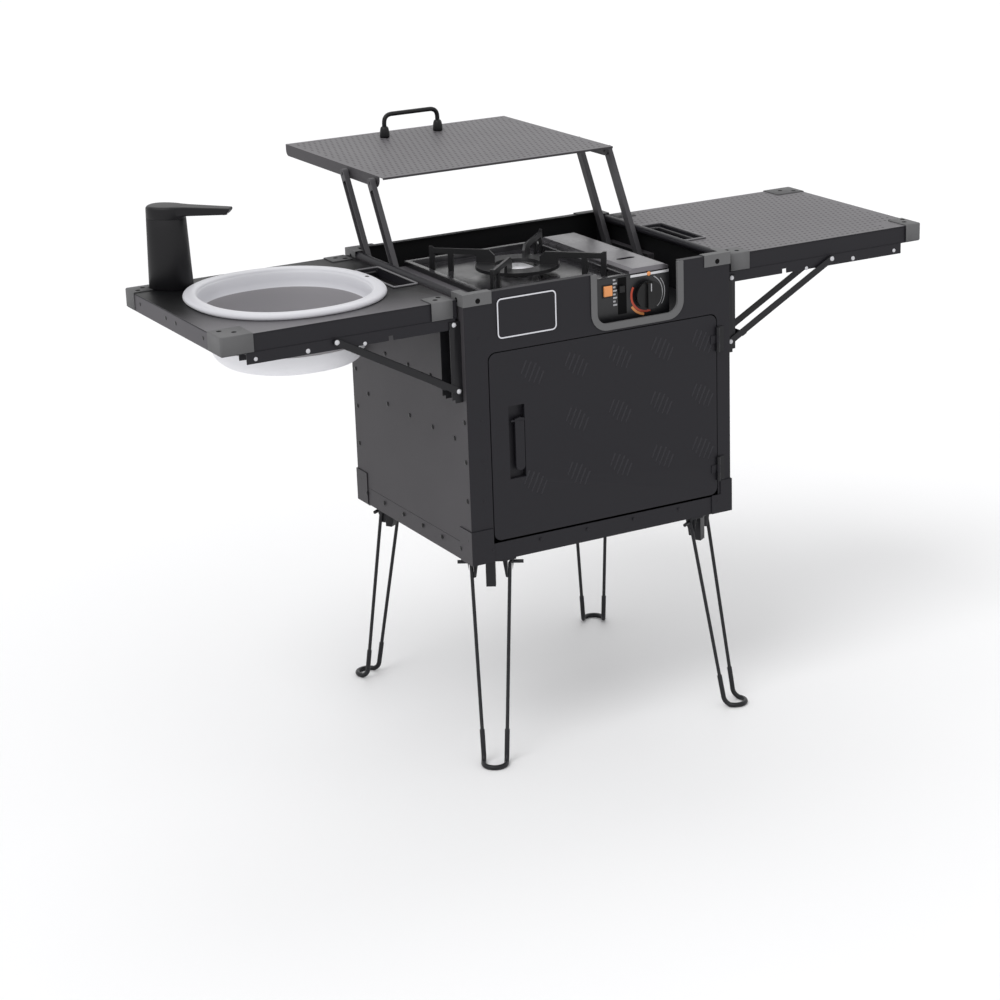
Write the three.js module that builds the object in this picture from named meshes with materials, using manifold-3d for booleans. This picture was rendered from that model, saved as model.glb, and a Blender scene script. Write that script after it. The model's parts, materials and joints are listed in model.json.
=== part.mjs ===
// A folding camping kitchen: a sheet-metal cabinet on four hairpin legs, with a gas stove under
// a lid that lifts on four links, and a folding side shelf on each side. The left shelf carries
// a collapsible wash basin and a tap column. Millimetres, +X right, -Y the front, +Z up.

import * as THREE from "three";
import { mergeVertices } from "three/addons/utils/BufferGeometryUtils.js";
import Module from "manifold-3d";

const wasm = await Module();
wasm.setup();

// Driving dimensions. Heights are measured from the cabinet's underside.
const cabinet = { width: 540, depth: 454, height: 485, sheet: 1.5, fold: 25, rimFold: 14 };
const stand = { height: 372 }; // from the ground to the cabinet's underside
const gap = 0.3; // between touching pieces
const over = 1; // overrun of a cutting tool
const half = { x: cabinet.width / 2, y: cabinet.depth / 2 };
const inner = { x: half.x - cabinet.sheet, y: half.y - cabinet.sheet };

const tray = { skirt: 33, guard: 44, guardHeight: 62, guardThick: 1.7 };
const cap = { length: 56, depth: 42, height: 22, thick: 1.5, strip: 15 };
const rail = { radius: 7, fromFace: 15, sides: 12 };
rail.end = half.y - rail.fromFace;
const deck = { below: 100, lip: 8 };
deck.top = cabinet.height - deck.below;
const door = { leftEdge: 45, rightEdge: 29, bottom: 37, below: 109, thick: 14, corner: 14, gap: 1.5 };
door.top = cabinet.height - door.below;
door.left = door.leftEdge - half.x;
door.right = half.x - door.rightEdge;
const pull = { inset: 35, width: 32, bottom: 145, height: 132, floor: 10, wall: 2 };
pull.left = door.left + pull.inset;
const paddle = { inset: 22, width: 18, bottom: 158, height: 96, thick: 4, pin: 2, boss: 5, hub: 4 };
paddle.x = pull.left + paddle.inset;
const hinge = { off: 1, out: 4, barrel: 3.6, pin: 1.5, bore: 2, leaf: 12, thick: 1.6, height: 46 };
hinge.x = door.right + hinge.off;
const hingeInset = { top: 69, bottom: 26 }; // of the hinges' lower ends, from the door's edges
const hingeHeights = [door.top - hingeInset.top, door.bottom + hingeInset.bottom];
const notch = { edge: 111, widthShare: 0.3074, depth: 91, corner: 20, trim: 12.5, lip: 2, web: 5.4 };
notch.width = notch.widthShare * cabinet.width;
notch.bottom = cabinet.height - notch.depth;
notch.right = half.x - notch.edge;
notch.left = notch.right - notch.width;
const badge = { edge: 63.5, below: 14, widthShare: 0.2167, height: 71, corner: 9, thick: 1.4, border: 2.6 };
badge.width = badge.widthShare * cabinet.width;
badge.bottom = cabinet.height - badge.below - badge.height;
badge.left = badge.edge - half.x;

const shelf = {
  length: 433,
  setback: 17, // of its front and back edges from the cabinet's
  sideGap: 4, // from the cabinet's side to the shelf's inner edge
  drop: 9, // from the rim down to the shelf's top
  sheet: 2,
  rail: 24,
  railHeight: 29.7,
  web: 2,
};
shelf.depth = 2 * (half.y - shelf.setback);
const shelfIn = half.x + shelf.sideGap;
const shelfOut = shelfIn + shelf.length;
const dish = { inset: 4, width: 42, length: 152, y: 6, corner: 4, depth: 15, wall: 1.2 };
const loop = { radius: 2.5, pivot: 7, reach: 31, length: 140, corner: 9, boss: 5 };
const arm = { width: 33, height: 18, wall: 2, start: -5, length: 381, inset: 15 };
const armPin = { radius: 2.6, bore: 3.1, notch: 4.5 };
arm.y = shelf.depth / 2 - arm.inset;
const channel = { width: 38, wall: 2, depth: 21, height: 143, below: 46, end: 6 };
channel.top = cabinet.height - channel.below;
channel.bottom = channel.top - channel.height;
const pivot = { out: 13, drop: 50.6 }; // the shelf's hinge, from the cabinet's side and rim
const brace = { out: 9, below: 168, top: 220, rise: 4.4, width: 12, thick: 2.4 };
brace.z = cabinet.height - brace.below;
const strap = { width: 10, edge: 1.4, at: 31 };
const lever = { out: 271, below: 3, thick: 6, boss: 5.5, tip: 47, tipDrop: 6.4, end: 2.6, heel: 22 };

const lid = { edge: 29, depth: 420, sheet: 1.5, flange: 22, hem: 4, nose: 16, front: 109, above: 144 };
lid.top = cabinet.height + lid.above;
lid.width = 2 * (half.x - lid.edge);
const link = { width: 16, thick: 10, wall: 2, length: 224.1, lean: 29.2, pitch: 112, pin: 3.5, bore: 4 };
const linkPivot = { fromFront: 32, below: 12, out: 8 }; // the upper pivots, on the lid
linkPivot.side = lid.width / 2 + linkPivot.out;
const boss = { height: 32, reach: 19, end: 18 };
const grip = { span: 116, height: 44, radius: 4.4, bend: 17, fromBack: 62, collar: 9.5, collarHigh: 21 };
grip.collarShare = 0.8; // its top radius, of its bottom one

const stove = { leftEdge: 70, rightEdge: 114, frontEdge: 22, backEdge: 97, below: 17, sheet: 1.5 };
stove.top = cabinet.height - stove.below;
stove.left = stove.leftEdge - half.x;
stove.right = half.x - stove.rightEdge;
stove.front = stove.frontEdge - half.y;
stove.back = half.y - stove.backEdge;
stove.bottom = deck.top + gap;
const bay = { width: 82, frontStep: 2, backStep: 18, high: 10, bevel: 8 };
const bayMouth = { slot: 36, slotWide: 12, slotIn: 78 };
bay.top = stove.top + bay.high;
bay.left = stove.right - bay.width;
bay.front = stove.front + bay.frontStep;
bay.back = stove.back - bay.backStep;
bayMouth.slotY = bay.front + bayMouth.slotIn;
const burner = { shift: 5, hole: 36, body: 26, crown: 30, crownHigh: 6, tube: 6 };
burner.crownTop = stove.top + burner.crownHigh;
burner.x = (stove.left + bay.left) / 2 + burner.shift;
burner.y = (stove.front + stove.back) / 2;
const pan = { margin: 10, depth: 9, hem: 1.5 };
pan.floor = stove.top - pan.depth;
const grate = { outer: 76, hole: 42, ringHigh: 8, ring: 6, high: 32, thick: 5, bar: 10, horn: 3 };
grate.ringTop = stove.top + grate.ringHigh;
grate.top = stove.top + grate.high;
grate.reachShare = 1.2; // of half the pan's width
grate.reach = (grate.reachShare * (bay.left - stove.left)) / 2;
const grateAngle = 45; // of the first arm, in plan
const knob = { inset: 34, below: 39, radius: 26, thick: 11, bar: 6, barWide: 13, shaft: 4, hole: 5.5 };
knob.x = bay.left + knob.inset;
knob.z = stove.top - knob.below;
const valve = { width: 30, height: 26, depth: 34 };
const catchLever = { inset: 19, below: 22, width: 11, height: 12, thick: 6, stem: 4, slot: 6, travel: 14 };
catchLever.x = bay.left - catchLever.inset;
catchLever.z = stove.top - catchLever.below;

const basin = { fromEnd: 210, y: 0, half: 171, margin: 32, power: 2.2, rim: 24, rimTop: 11, steps: 32 };
basin.x = basin.fromEnd - shelfOut;
basin.halfY = shelf.depth / 2 - basin.margin;
const bowl = { clear: 2, wall: 2.4, wallHeight: 75, cupHeight: 36, curve: 9, thick: 3 };
const bowlTaper = { wall: 14, shoulder: 23, floor: 34 }; // how much narrower than the wall's top
const tap = { fromEnd: 64.5, fromBack: 40, angle: -44, length: 78, width: 54, height: 148, cap: 22 };
tap.x = tap.fromEnd - shelfOut;
tap.y = shelf.depth / 2 - tap.fromBack;
const tapTaper = { back: 10, front: 1, side: 2 };
const spout = { reach: 124, height: 19, tipHeight: 12, width: 30, tipWidth: 21, fall: 1.5 };

const leg = { edgeX: 51, edgeY: 31, outY: 51, below: 10.5, rod: 3.25, sleeve: 4.5 };
leg.pivotX = half.x - leg.edgeX;
leg.pivotY = half.y - leg.edgeY;
leg.tipX = half.x;
leg.tipY = half.y + leg.outY;
const legShape = { top: 34.5, low: 20.5, pin: 58.5, bend: 5, foot: 32, sleeveLength: 62, sides: 8, arc: 6 };
const ear = { at: 31.5, topRadius: 11.5, endRadius: 5.5, height: 39, slot: 8.6, bore: 3.9, open: 11 };
const foot = { plate: 3, length: 92, width: 42, latch: 22, latchOut: 17, latchHigh: 55, latchEnd: 17 };

const share = { step: 0.01 };

const rad = THREE.MathUtils.degToRad;
const V2 = (x, y) => new THREE.Vector2(x, y);
const V3 = (x, y, z) => new THREE.Vector3(x, y, z);

// Solids
function solid(geometry) {
  const g = geometry.clone();
  for (const name of Object.keys(g.attributes)) if (name !== "position") g.deleteAttribute(name);
  const merged = mergeVertices(g, 1e-4);
  return new wasm.Manifold(
    new wasm.Mesh({
      numProp: 3,
      vertProperties: new Float32Array(merged.attributes.position.array),
      triVerts: new Uint32Array(merged.index.array),
    }),
  );
}

function geometryOf(shape) {
  const m = shape.getMesh();
  return new THREE.BufferGeometry()
    .setAttribute("position", new THREE.BufferAttribute(new Float32Array(m.vertProperties), 3))
    .setIndex(new THREE.BufferAttribute(new Uint32Array(m.triVerts), 1));
}

const join = (first, ...rest) => rest.reduce((sum, next) => sum.add(next), first);
const cut = (first, ...rest) => rest.reduce((sum, next) => sum.subtract(next), first);

// A box between two corners, given as pairs in any order
function block(x, y, z) {
  const size = [x, y, z].map(([a, b]) => Math.abs(b - a));
  const mid = [x, y, z].map(([a, b]) => (a + b) / 2);
  return solid(new THREE.BoxGeometry(...size).translate(...mid));
}

// A cylinder or cone about a point, its axis along x, y or z
function rod(axis, at, length, radius, sides = 10, endRadius = radius) {
  const g = new THREE.CylinderGeometry(endRadius, radius, length, sides);
  if (axis === "x") g.rotateZ(-Math.PI / 2);
  if (axis === "z") g.rotateX(Math.PI / 2);
  return solid(g.translate(at.x, at.y, at.z));
}

// An outline in a plane, pushed along the third axis from one value to another
function plate(plane, shape, from, to, steps = 4) {
  const depth = Math.abs(to - from);
  const low = Math.min(from, to);
  const g = new THREE.ExtrudeGeometry(shape, { depth, bevelEnabled: false, curveSegments: steps });
  if (plane === "xy") g.translate(0, 0, low);
  if (plane === "xz") g.rotateX(Math.PI / 2).translate(0, low + depth, 0);
  if (plane === "yz") g.rotateY(Math.PI / 2).rotateX(Math.PI / 2).translate(low, 0, 0);
  return solid(g);
}

// Outlines
const polygon = (points) => new THREE.Shape(points.map(([a, b]) => V2(a, b)));

function roundedBox(left, bottom, width, height, radius) {
  const s = new THREE.Shape();
  const right = left + width;
  const top = bottom + height;
  s.moveTo(left + radius, bottom);
  s.lineTo(right - radius, bottom).absarc(right - radius, bottom + radius, radius, -Math.PI / 2, 0);
  s.lineTo(right, top - radius).absarc(right - radius, top - radius, radius, 0, Math.PI / 2);
  s.lineTo(left + radius, top).absarc(left + radius, top - radius, radius, Math.PI / 2, Math.PI);
  s.lineTo(left, bottom + radius);
  s.absarc(left + radius, bottom + radius, radius, Math.PI, Math.PI * 1.5);
  return s;
}

// A squarish oval about the basin's middle
function oval(x, y, halfX, halfY, steps = basin.steps) {
  const points = [];
  for (let i = 0; i < steps; i++) {
    const a = (2 * Math.PI * i) / steps;
    const c = Math.cos(a);
    const s = Math.sin(a);
    const px = Math.sign(c) * Math.abs(c) ** (2 / basin.power);
    const py = Math.sign(s) * Math.abs(s) ** (2 / basin.power);
    points.push(V2(x + halfX * px, y + halfY * py));
  }
  return points;
}

// A skin over stacked outlines with equally many points. It closes on itself, or is capped.
function loft(rings, capped = false) {
  const n = rings[0].points.length;
  const position = rings.flatMap(({ points, z }) => points.flatMap((p) => [p.x, p.y, z]));
  const index = [];
  rings.forEach((_, r) => {
    if (capped && r === rings.length - 1) return;
    const next = (r + 1) % rings.length;
    for (let i = 0; i < n; i++) {
      const [a, b] = [r * n + i, r * n + ((i + 1) % n)];
      const [c, d] = [next * n + i, next * n + ((i + 1) % n)];
      index.push(a, b, d, a, d, c);
    }
  });
  if (capped) {
    const last = (rings.length - 1) * n;
    for (let i = 1; i < n - 1; i++) index.push(0, i + 1, i, last, last + i, last + i + 1);
  }
  const g = new THREE.BufferGeometry();
  g.setAttribute("position", new THREE.Float32BufferAttribute(position, 3)).setIndex(index);
  return solid(g);
}

// A round bar along listed points, each with its own radius
function wire(points, radii, sides) {
  const radiusAt = (i) => (Array.isArray(radii) ? radii[i] : radii);
  const toward = (i, j) => points[j].clone().sub(points[i]).normalize();
  const last = points.length - 1;
  const position = [];
  let normal = null;
  points.forEach((point, i) => {
    const tangent = V3(0, 0, 0);
    if (i > 0) tangent.add(toward(i - 1, i));
    if (i < last) tangent.add(toward(i, i + 1));
    tangent.normalize();
    if (!normal) normal = Math.abs(tangent.x) < Math.SQRT1_2 ? V3(1, 0, 0) : V3(0, 1, 0);
    normal = normal.clone().addScaledVector(tangent, -normal.dot(tangent)).normalize();
    const across = tangent.clone().cross(normal);
    for (let j = 0; j < sides; j++) {
      const a = (2 * Math.PI * (j + 1 / 2)) / sides;
      const p = point.clone().addScaledVector(normal, radiusAt(i) * Math.cos(a));
      p.addScaledVector(across, radiusAt(i) * Math.sin(a));
      position.push(p.x, p.y, p.z);
    }
  });
  const index = [];
  for (let i = 0; i < last; i++) {
    for (let j = 0; j < sides; j++) {
      const [a, b] = [i * sides + j, i * sides + ((j + 1) % sides)];
      index.push(a, b, b + sides, a, b + sides, a + sides);
    }
  }
  for (let j = 1; j < sides - 1; j++) {
    const end = last * sides;
    index.push(0, j + 1, j, end, end + j, end + j + 1);
  }
  const g = new THREE.BufferGeometry();
  g.setAttribute("position", new THREE.Float32BufferAttribute(position, 3)).setIndex(index);
  return solid(g);
}

// Points that turn a corner, as a quarter-like curve between two straights
function corner(before, at, after, radius, steps = 3) {
  const start = at.clone().add(before.clone().sub(at).setLength(radius));
  const end = at.clone().add(after.clone().sub(at).setLength(radius));
  return new THREE.QuadraticBezierCurve3(start, at, end).getPoints(steps);
}

const turned = (shape, degrees, x = 0, y = 0) => shape.rotate([0, 0, degrees]).translate([x, y, 0]);
const mirrored = (shape, side) => (side < 0 ? shape.mirror([1, 0, 0]) : shape);
const flipped = (shape, end) => (end < 0 ? shape.mirror([0, 1, 0]) : shape);

// Finishes
const finish = (color, roughness, metalness) =>
  new THREE.MeshStandardMaterial({ color, roughness, metalness });
const paint = {
  black: finish(0x323136, 0.55, 0.3),
  side: finish(0x4c4a4d, 0.6, 0.3),
  worktop: finish(0x77757a, 0.5, 0.4),
  shelfTop: finish(0x5c5b5e, 0.5, 0.4),
  grey: finish(0x737374, 0.7, 0),
  steel: finish(0xb8b8bb, 0.35, 0.8),
  iron: finish(0x161618, 0.6, 0.3),
  plastic: finish(0x262528, 0.45, 0),
  silicone: finish(0xdedee2, 0.6, 0),
  base: finish(0x7d7b7d, 0.6, 0),
};

const kitchen = new THREE.Group();
function add(name, shape, material, x = 0, y = 0, z = 0) {
  const mesh = new THREE.Mesh(geometryOf(shape), material);
  mesh.name = name;
  mesh.position.set(x, y, z);
  kitchen.add(mesh);
  return mesh;
}

const sides = { left: -1, right: 1 };
const ends = { front: -1, back: 1 };

// Cabinet: base tray with its corner guards
function baseTray() {
  const { skirt, guard, guardHeight, guardThick } = tray;
  const lift = [0, skirt];
  const shell = cut(
    block([-half.x, half.x], [-half.y, half.y], lift),
    block([-inner.x, inner.x], [-inner.y, inner.y], [cabinet.sheet, skirt + over]),
  );
  const outer = { x: half.x + gap + guardThick, y: half.y + gap + guardThick };
  const one = cut(
    block([outer.x - guard, outer.x], [outer.y - guard, outer.y], [0, guardHeight]),
    block([0, half.x + gap], [0, half.y + gap], [skirt, guardHeight + over]),
    block([0, half.x - gap], [0, half.y - gap], [-over, guardHeight + over]),
  );
  const guards = Object.values(sides).flatMap((s) =>
    Object.values(ends).map((e) => flipped(mirrored(one, s), e)),
  );
  const doorway = block(
    [door.left - door.gap, hinge.x + hinge.barrel + door.gap],
    [-outer.y - over, -half.y],
    [door.bottom - door.gap, guardHeight + over],
  );
  return cut(join(shell, ...guards), doorway);
}

// A side panel with its rolled top rail and, inside, the pad that carries the lid links
function sidePanel() {
  const low = tray.skirt + gap;
  const railZ = cabinet.height - rail.radius - gap;
  const railX = half.x - rail.radius - gap;
  const ends = [-inner.y + gap, inner.y - gap];
  const sheet = block([inner.x, half.x], ends, [low, railZ]);
  const tube = rod("y", V3(railX, 0, railZ), 2 * rail.end, rail.radius, rail.sides);
  const face = linkPivot.side + link.thick / 2 + gap;
  const { y, z } = linkFoot;
  const pad = block(
    [face, inner.x + cabinet.sheet / 2],
    [y - link.pitch - boss.end, y + boss.end],
    [z - boss.height / 2, z + boss.height / 2],
  );
  const studs = [0, 1].map((i) =>
    rod("x", V3(face - link.thick / 2, y - i * link.pitch, z), link.thick + 2 * over, link.pin),
  );
  return join(sheet, tube, pad, ...studs);
}

function backPanel() {
  const low = tray.skirt + gap;
  const sheet = block([-half.x, half.x], [inner.y, half.y], [low, cabinet.height]);
  return join(sheet, ...sheetFolds(low));
}

// The folds at the side and top edges of the front and back sheets
function sheetFolds(low) {
  const back = inner.y + cabinet.sheet / 2;
  const outside = inner.x - gap;
  const folds = Object.values(sides).map((s) =>
    block(
      [s * (outside - cabinet.sheet), s * outside],
      [inner.y - cabinet.fold, back],
      [low, cabinet.height - 2 * rail.radius - over],
    ),
  );
  const web = Object.values(sides).map((s) =>
    block(
      [s * (outside - cabinet.sheet), s * (half.x)],
      [inner.y, back],
      [low, cabinet.height - over],
    ),
  );
  const rim = block(
    [-half.x + 2 * rail.radius + over, half.x - 2 * rail.radius - over],
    [half.y - cabinet.rimFold, back],
    [cabinet.height - cabinet.sheet, cabinet.height],
  );
  return [...folds, ...web, rim];
}

// The stepped U of the stove notch, grown outwards by an amount
function notchOutline(grow) {
  const s = new THREE.Shape();
  const [left, right] = [notch.left - grow, notch.right + grow];
  const [bottom, radius] = [notch.bottom - grow, notch.corner + grow];
  const top = cabinet.height + over + grow;
  s.moveTo(left, top).lineTo(left, bottom + radius);
  s.absarc(left + radius, bottom + radius, radius, Math.PI, Math.PI * 1.5);
  s.lineTo(right - radius, bottom);
  s.absarc(right - radius, bottom + radius, radius, -Math.PI / 2, 0);
  s.lineTo(right, top);
  return s;
}

function frontFascia() {
  const low = tray.skirt + gap;
  const panel = join(
    block([-half.x, half.x], [-half.y, -inner.y], [low, cabinet.height]),
    ...sheetFolds(low).map((fold) => flipped(fold, -1)),
  );
  const reach = [-half.y - over, -half.y + cabinet.rimFold + over];
  const opening = roundedBox(
    door.left - door.gap,
    low - door.corner - over,
    door.right - door.left + 2 * door.gap,
    door.top + door.gap - low + door.corner + over,
    door.corner,
  );
  const gapForTrim = notchOutline(notch.web + gap);
  return cut(panel, plate("xz", opening, ...reach), plate("xz", gapForTrim, ...reach));
}

function notchTrim() {
  const [front, back] = [-half.y - gap - notch.lip, -inner.y + gap + notch.lip];
  const groove = [-half.y - gap, -inner.y + gap];
  const top = block(
    [notch.left - notch.trim - over, notch.right + notch.trim + over],
    [front - over, back + over],
    [cabinet.height, cabinet.height + notch.trim + 2 * over],
  );
  return cut(
    plate("xz", notchOutline(notch.trim), front, back),
    plate("xz", notchOutline(0), front - over, back + over),
    cut(
      plate("xz", notchOutline(notch.trim + over), ...groove),
      plate("xz", notchOutline(notch.web), ...groove),
    ),
    block(
      [notch.left - notch.trim - over, notch.left - notch.web],
      [-inner.y - over / 2, back + over],
      [cabinet.height - 2 * cabinet.sheet, cabinet.height + over],
    ),
    block(
      [notch.right + notch.web, notch.right + notch.trim + over],
      [-inner.y - over / 2, back + over],
      [cabinet.height - 2 * cabinet.sheet, cabinet.height + over],
    ),
    top,
  );
}

function badgePlate() {
  const back = -half.y - gap;
  const outline = (inset) =>
    roundedBox(
      badge.left + inset,
      badge.bottom + inset,
      badge.width - 2 * inset,
      badge.height - 2 * inset,
      badge.corner - inset,
    );
  const face = back - badge.thick;
  return cut(
    plate("xz", outline(0), face, back),
    plate("xz", outline(badge.border), face - over, back - badge.thick / 2),
  );
}

// A shelf over the stored goods, on which the stove stands
function stoveDeck() {
  const x = inner.x - cabinet.sheet - 2 * gap;
  const y = inner.y - notch.lip - 3 * gap;
  const sheet = block([-x, x], [-y, y], [deck.top - cabinet.sheet, deck.top]);
  const lips = Object.values(ends).map((e) =>
    block(
      [-x + cabinet.fold, x - cabinet.fold],
      [e * (y - cabinet.sheet), e * y],
      [deck.top - deck.lip, deck.top],
    ),
  );
  return join(sheet, ...lips);
}

// The plastic corner at the rim
function topCap() {
  const out = { x: half.x + gap + cap.thick, y: half.y + gap + cap.thick };
  const top = cabinet.height + gap + cap.thick;
  return cut(
    block([out.x - cap.length, out.x], [out.y - cap.depth, out.y], [top - cap.height, top]),
    block([0, half.x + gap], [0, half.y + gap], [top - cap.height - over, cabinet.height + gap]),
    block([0, half.x - cap.strip], [0, half.y - cap.strip], [0, top + over]),
  );
}

// Door, its pull and its hinges
const hingePin = { x: hinge.x, y: -half.y - hinge.out };
function barrel(from, to) {
  const mid = (from + to) / 2;
  return rod("z", V3(hingePin.x, hingePin.y, mid), to - from, hinge.barrel, 10);
}
function doorPanel() {
  const [w, h] = [door.right - door.left, door.top - door.bottom];
  const outline = (inset) =>
    roundedBox(door.left + inset, door.bottom + inset, w - 2 * inset, h - 2 * inset, door.corner - inset);
  const back = -half.y + door.thick;
  const well = [pull.left, pull.left + pull.width];
  const wellZ = [pull.bottom, pull.bottom + pull.height];
  const wellFloor = -half.y + pull.floor;
  const grown = ([a, b], by) => [a - by, b + by];
  const shell = cut(
    join(
      cut(
        plate("xz", outline(0), -half.y, back),
        plate("xz", outline(cabinet.sheet), -half.y + cabinet.sheet, back + over),
      ),
      block(grown(well, pull.wall), [-half.y, wellFloor + pull.wall], grown(wellZ, pull.wall)),
    ),
    block(well, [-half.y - over, wellFloor], wellZ),
  );
  const pinAt = V3(paddle.x, -half.y + paddle.thick / 2 + gap, paddle.bottom + paddle.height - paddle.boss);
  const pin = rod("x", pinAt, pull.width + pull.wall, paddle.pin, 10);
  const leaves = hingeHeights.map((low) => {
    const third = hinge.height / 3;
    const [from, to] = [low + third + gap, low + 2 * third - gap];
    const face = [-half.y - hinge.thick, -half.y + cabinet.sheet / 2];
    const plateEnd = hinge.x - hinge.barrel / 2;
    return cut(
      join(
        block([plateEnd - hinge.leaf, door.right - gap], face, [from, to]),
        block([door.right - hinge.thick, hinge.x], [hingePin.y, -half.y - hinge.thick / 2], [from, to]),
        barrel(from, to),
      ),
      rod("z", V3(hingePin.x, hingePin.y, low + hinge.height / 2), hinge.height, hinge.bore, 10),
    );
  });
  return join(shell, pin, ...leaves);
}
function doorPull() {
  const face = [-half.y + gap, -half.y + gap + paddle.thick];
  const s = roundedBox(
    paddle.x - paddle.width / 2,
    paddle.bottom,
    paddle.width,
    paddle.height,
    paddle.width / 2 - gap,
  );
  const pinAt = V3(paddle.x, -half.y + paddle.thick / 2 + gap, paddle.bottom + paddle.height - paddle.boss);
  const hub = rod("x", pinAt, paddle.width, paddle.hub, 12);
  const lipEnd = block(
    [paddle.x - paddle.width / 3, paddle.x + paddle.width / 3],
    [face[0], face[1] + paddle.thick / 2],
    [paddle.bottom + paddle.boss, paddle.bottom + 3 * paddle.boss],
  );
  const bore = rod("x", pinAt, paddle.width + 2 * over, paddle.pin + gap, 10);
  const proud = block(
    [paddle.x - paddle.width, paddle.x + paddle.width],
    [-half.y - paddle.boss, face[0]],
    [paddle.bottom, paddle.bottom + paddle.height],
  );
  const trimmed = cut(hub, proud);
  return cut(join(plate("xz", s, ...face), lipEnd, trimmed), bore);
}
function hingeLeaf(low) {
  const third = hinge.height / 3;
  const high = low + hinge.height;
  const face = [-half.y - gap - hinge.thick, -half.y - gap];
  const start = hinge.x + hinge.bore;
  const knuckles = [
    [low, low + third],
    [high - third, high],
  ];
  const plates = knuckles.flatMap(([a, b]) => [
    barrel(a, b),
    block([hinge.x, start + hinge.leaf], [face[0], face[1]], [a, b]),
  ]);
  const spine = block([start + hinge.barrel, start + hinge.leaf], face, [low, high]);
  const pin = rod("z", V3(hingePin.x, hingePin.y, low + hinge.height / 2), hinge.height, hinge.pin, 10);
  return join(spine, pin, ...plates);
}

// Side shelves. They are made for the right side and mirrored for the left one.
const shelfTop = cabinet.height - shelf.drop;
const frameTop = shelfTop - shelf.sheet - gap;
const frameLow = frameTop - shelf.railHeight;
const shelfPivot = { x: half.x + pivot.out, z: cabinet.height - pivot.drop };
const dishX = [shelfIn + dish.inset, shelfIn + dish.inset + dish.width];
const dishY = [dish.y - dish.length / 2, dish.y + dish.length / 2];

function shelfFrame() {
  const y = shelf.depth / 2;
  const { web, rail: wide } = shelf;
  const ring = cut(
    block([shelfIn, shelfOut], [-y, y], [frameLow, frameTop]),
    block([shelfIn + web, shelfOut - web], [-y + web, y - web], [frameLow + web, frameTop - web]),
    block([shelfIn + wide, shelfOut - wide], [-y + wide, y - wide], [frameLow - over, frameTop + over]),
    block(
      [dishX[0] - dish.wall - gap, dishX[1]],
      [dishY[0] - dish.wall - gap, dishY[1] + dish.wall + gap],
      [shelfTop - dish.depth - dish.wall - gap, frameTop + over],
    ),
  );
  const arms = Object.values(ends).map((e) => shelfArm(e));
  return join(ring, ...arms);
}

// The folding arm under a shelf's edge, open downwards, with the lever's pin in it
function shelfArm(end) {
  const top = frameLow + shelf.web / 2;
  const low = shelfPivot.z - arm.height / 2;
  const [from, to] = [shelfPivot.x + arm.start, shelfPivot.x + arm.length];
  const y = [arm.y - arm.width / 2, arm.y + arm.width / 2];
  const flat = shelfPivot.z + arm.height / 2 - arm.wall;
  const shape = cut(
    block([from, to], y, [low, top]),
    block([from - over, to + over], [y[0] + arm.wall, y[1] - arm.wall], [low - over, flat]),
    rod("y", V3(shelfPivot.x, arm.y, shelfPivot.z), 2 * arm.width, armPin.bore, 10),
    block([from - over, shelfIn], [y[0] - over, y[1] + over], [shelfPivot.z + arm.height / 2, top + over]),
    rivetNotch(y),
  );
  const pin = rod("y", V3(leverAt.x, arm.y, leverAt.z), arm.width, armPin.radius, 10);
  return flipped(join(shape, pin), end);
}

// The nick in the arm that takes the brace's lower rivet when the shelf hangs folded
function rivetNotch(y) {
  const x = shelfPivot.x + shelfPivot.z - braceFoot.z;
  const top = shelfPivot.z - (shelfPivot.x - braceFoot.x) + armPin.bore + gap;
  return block(
    [x - armPin.notch, x + armPin.notch],
    [y[0] - over, y[1] + over],
    [shelfPivot.z - arm.height / 2 - over, top],
  );
}

const leverAt = { x: shelfPivot.x + lever.out, z: shelfPivot.z - lever.below };
function releaseLever(end) {
  const { x, z } = leverAt;
  const outline = polygon([
    [x - lever.heel, z + lever.end],
    [x - lever.heel, z - lever.end],
    [x - lever.boss, z - lever.boss],
    [x + lever.boss, z - lever.boss],
    [x + lever.tip, z - lever.tipDrop - lever.end],
    [x + lever.tip, z - lever.tipDrop + lever.end],
    [x + lever.boss, z + lever.boss],
    [x - lever.boss, z + lever.boss],
  ]);
  const y = [arm.y - lever.thick / 2, arm.y + lever.thick / 2];
  const bore = rod("y", V3(x, arm.y, z), arm.width, armPin.bore, 10);
  return flipped(cut(plate("xz", outline, ...y), bore), end);
}

// The upright channel on the cabinet's side, with the two rivets that the shelf folds on
function wallChannel(end) {
  const [from, to] = [half.x + gap, half.x + channel.depth];
  const y = [arm.y - channel.width / 2, arm.y + channel.width / 2];
  const shell = cut(
    block([from, to], y, [channel.bottom, channel.top]),
    block(
      [from + channel.wall, to + over],
      [y[0] + channel.wall, y[1] - channel.wall],
      [0, cabinet.height],
    ),
    block([to - channel.end, to + over], [y[0] - over, y[1] + over], [0, channel.bottom + channel.end]),
  );
  const upper = rod("y", V3(shelfPivot.x, arm.y, shelfPivot.z), channel.width + 2 * over, armPin.radius, 10);
  const span = channel.width + 2 * (brace.thick + over);
  const lower = rod("y", V3(braceFoot.x, arm.y, braceFoot.z), span, armPin.radius, 10);
  return flipped(join(shell, upper, lower), end);
}

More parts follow.
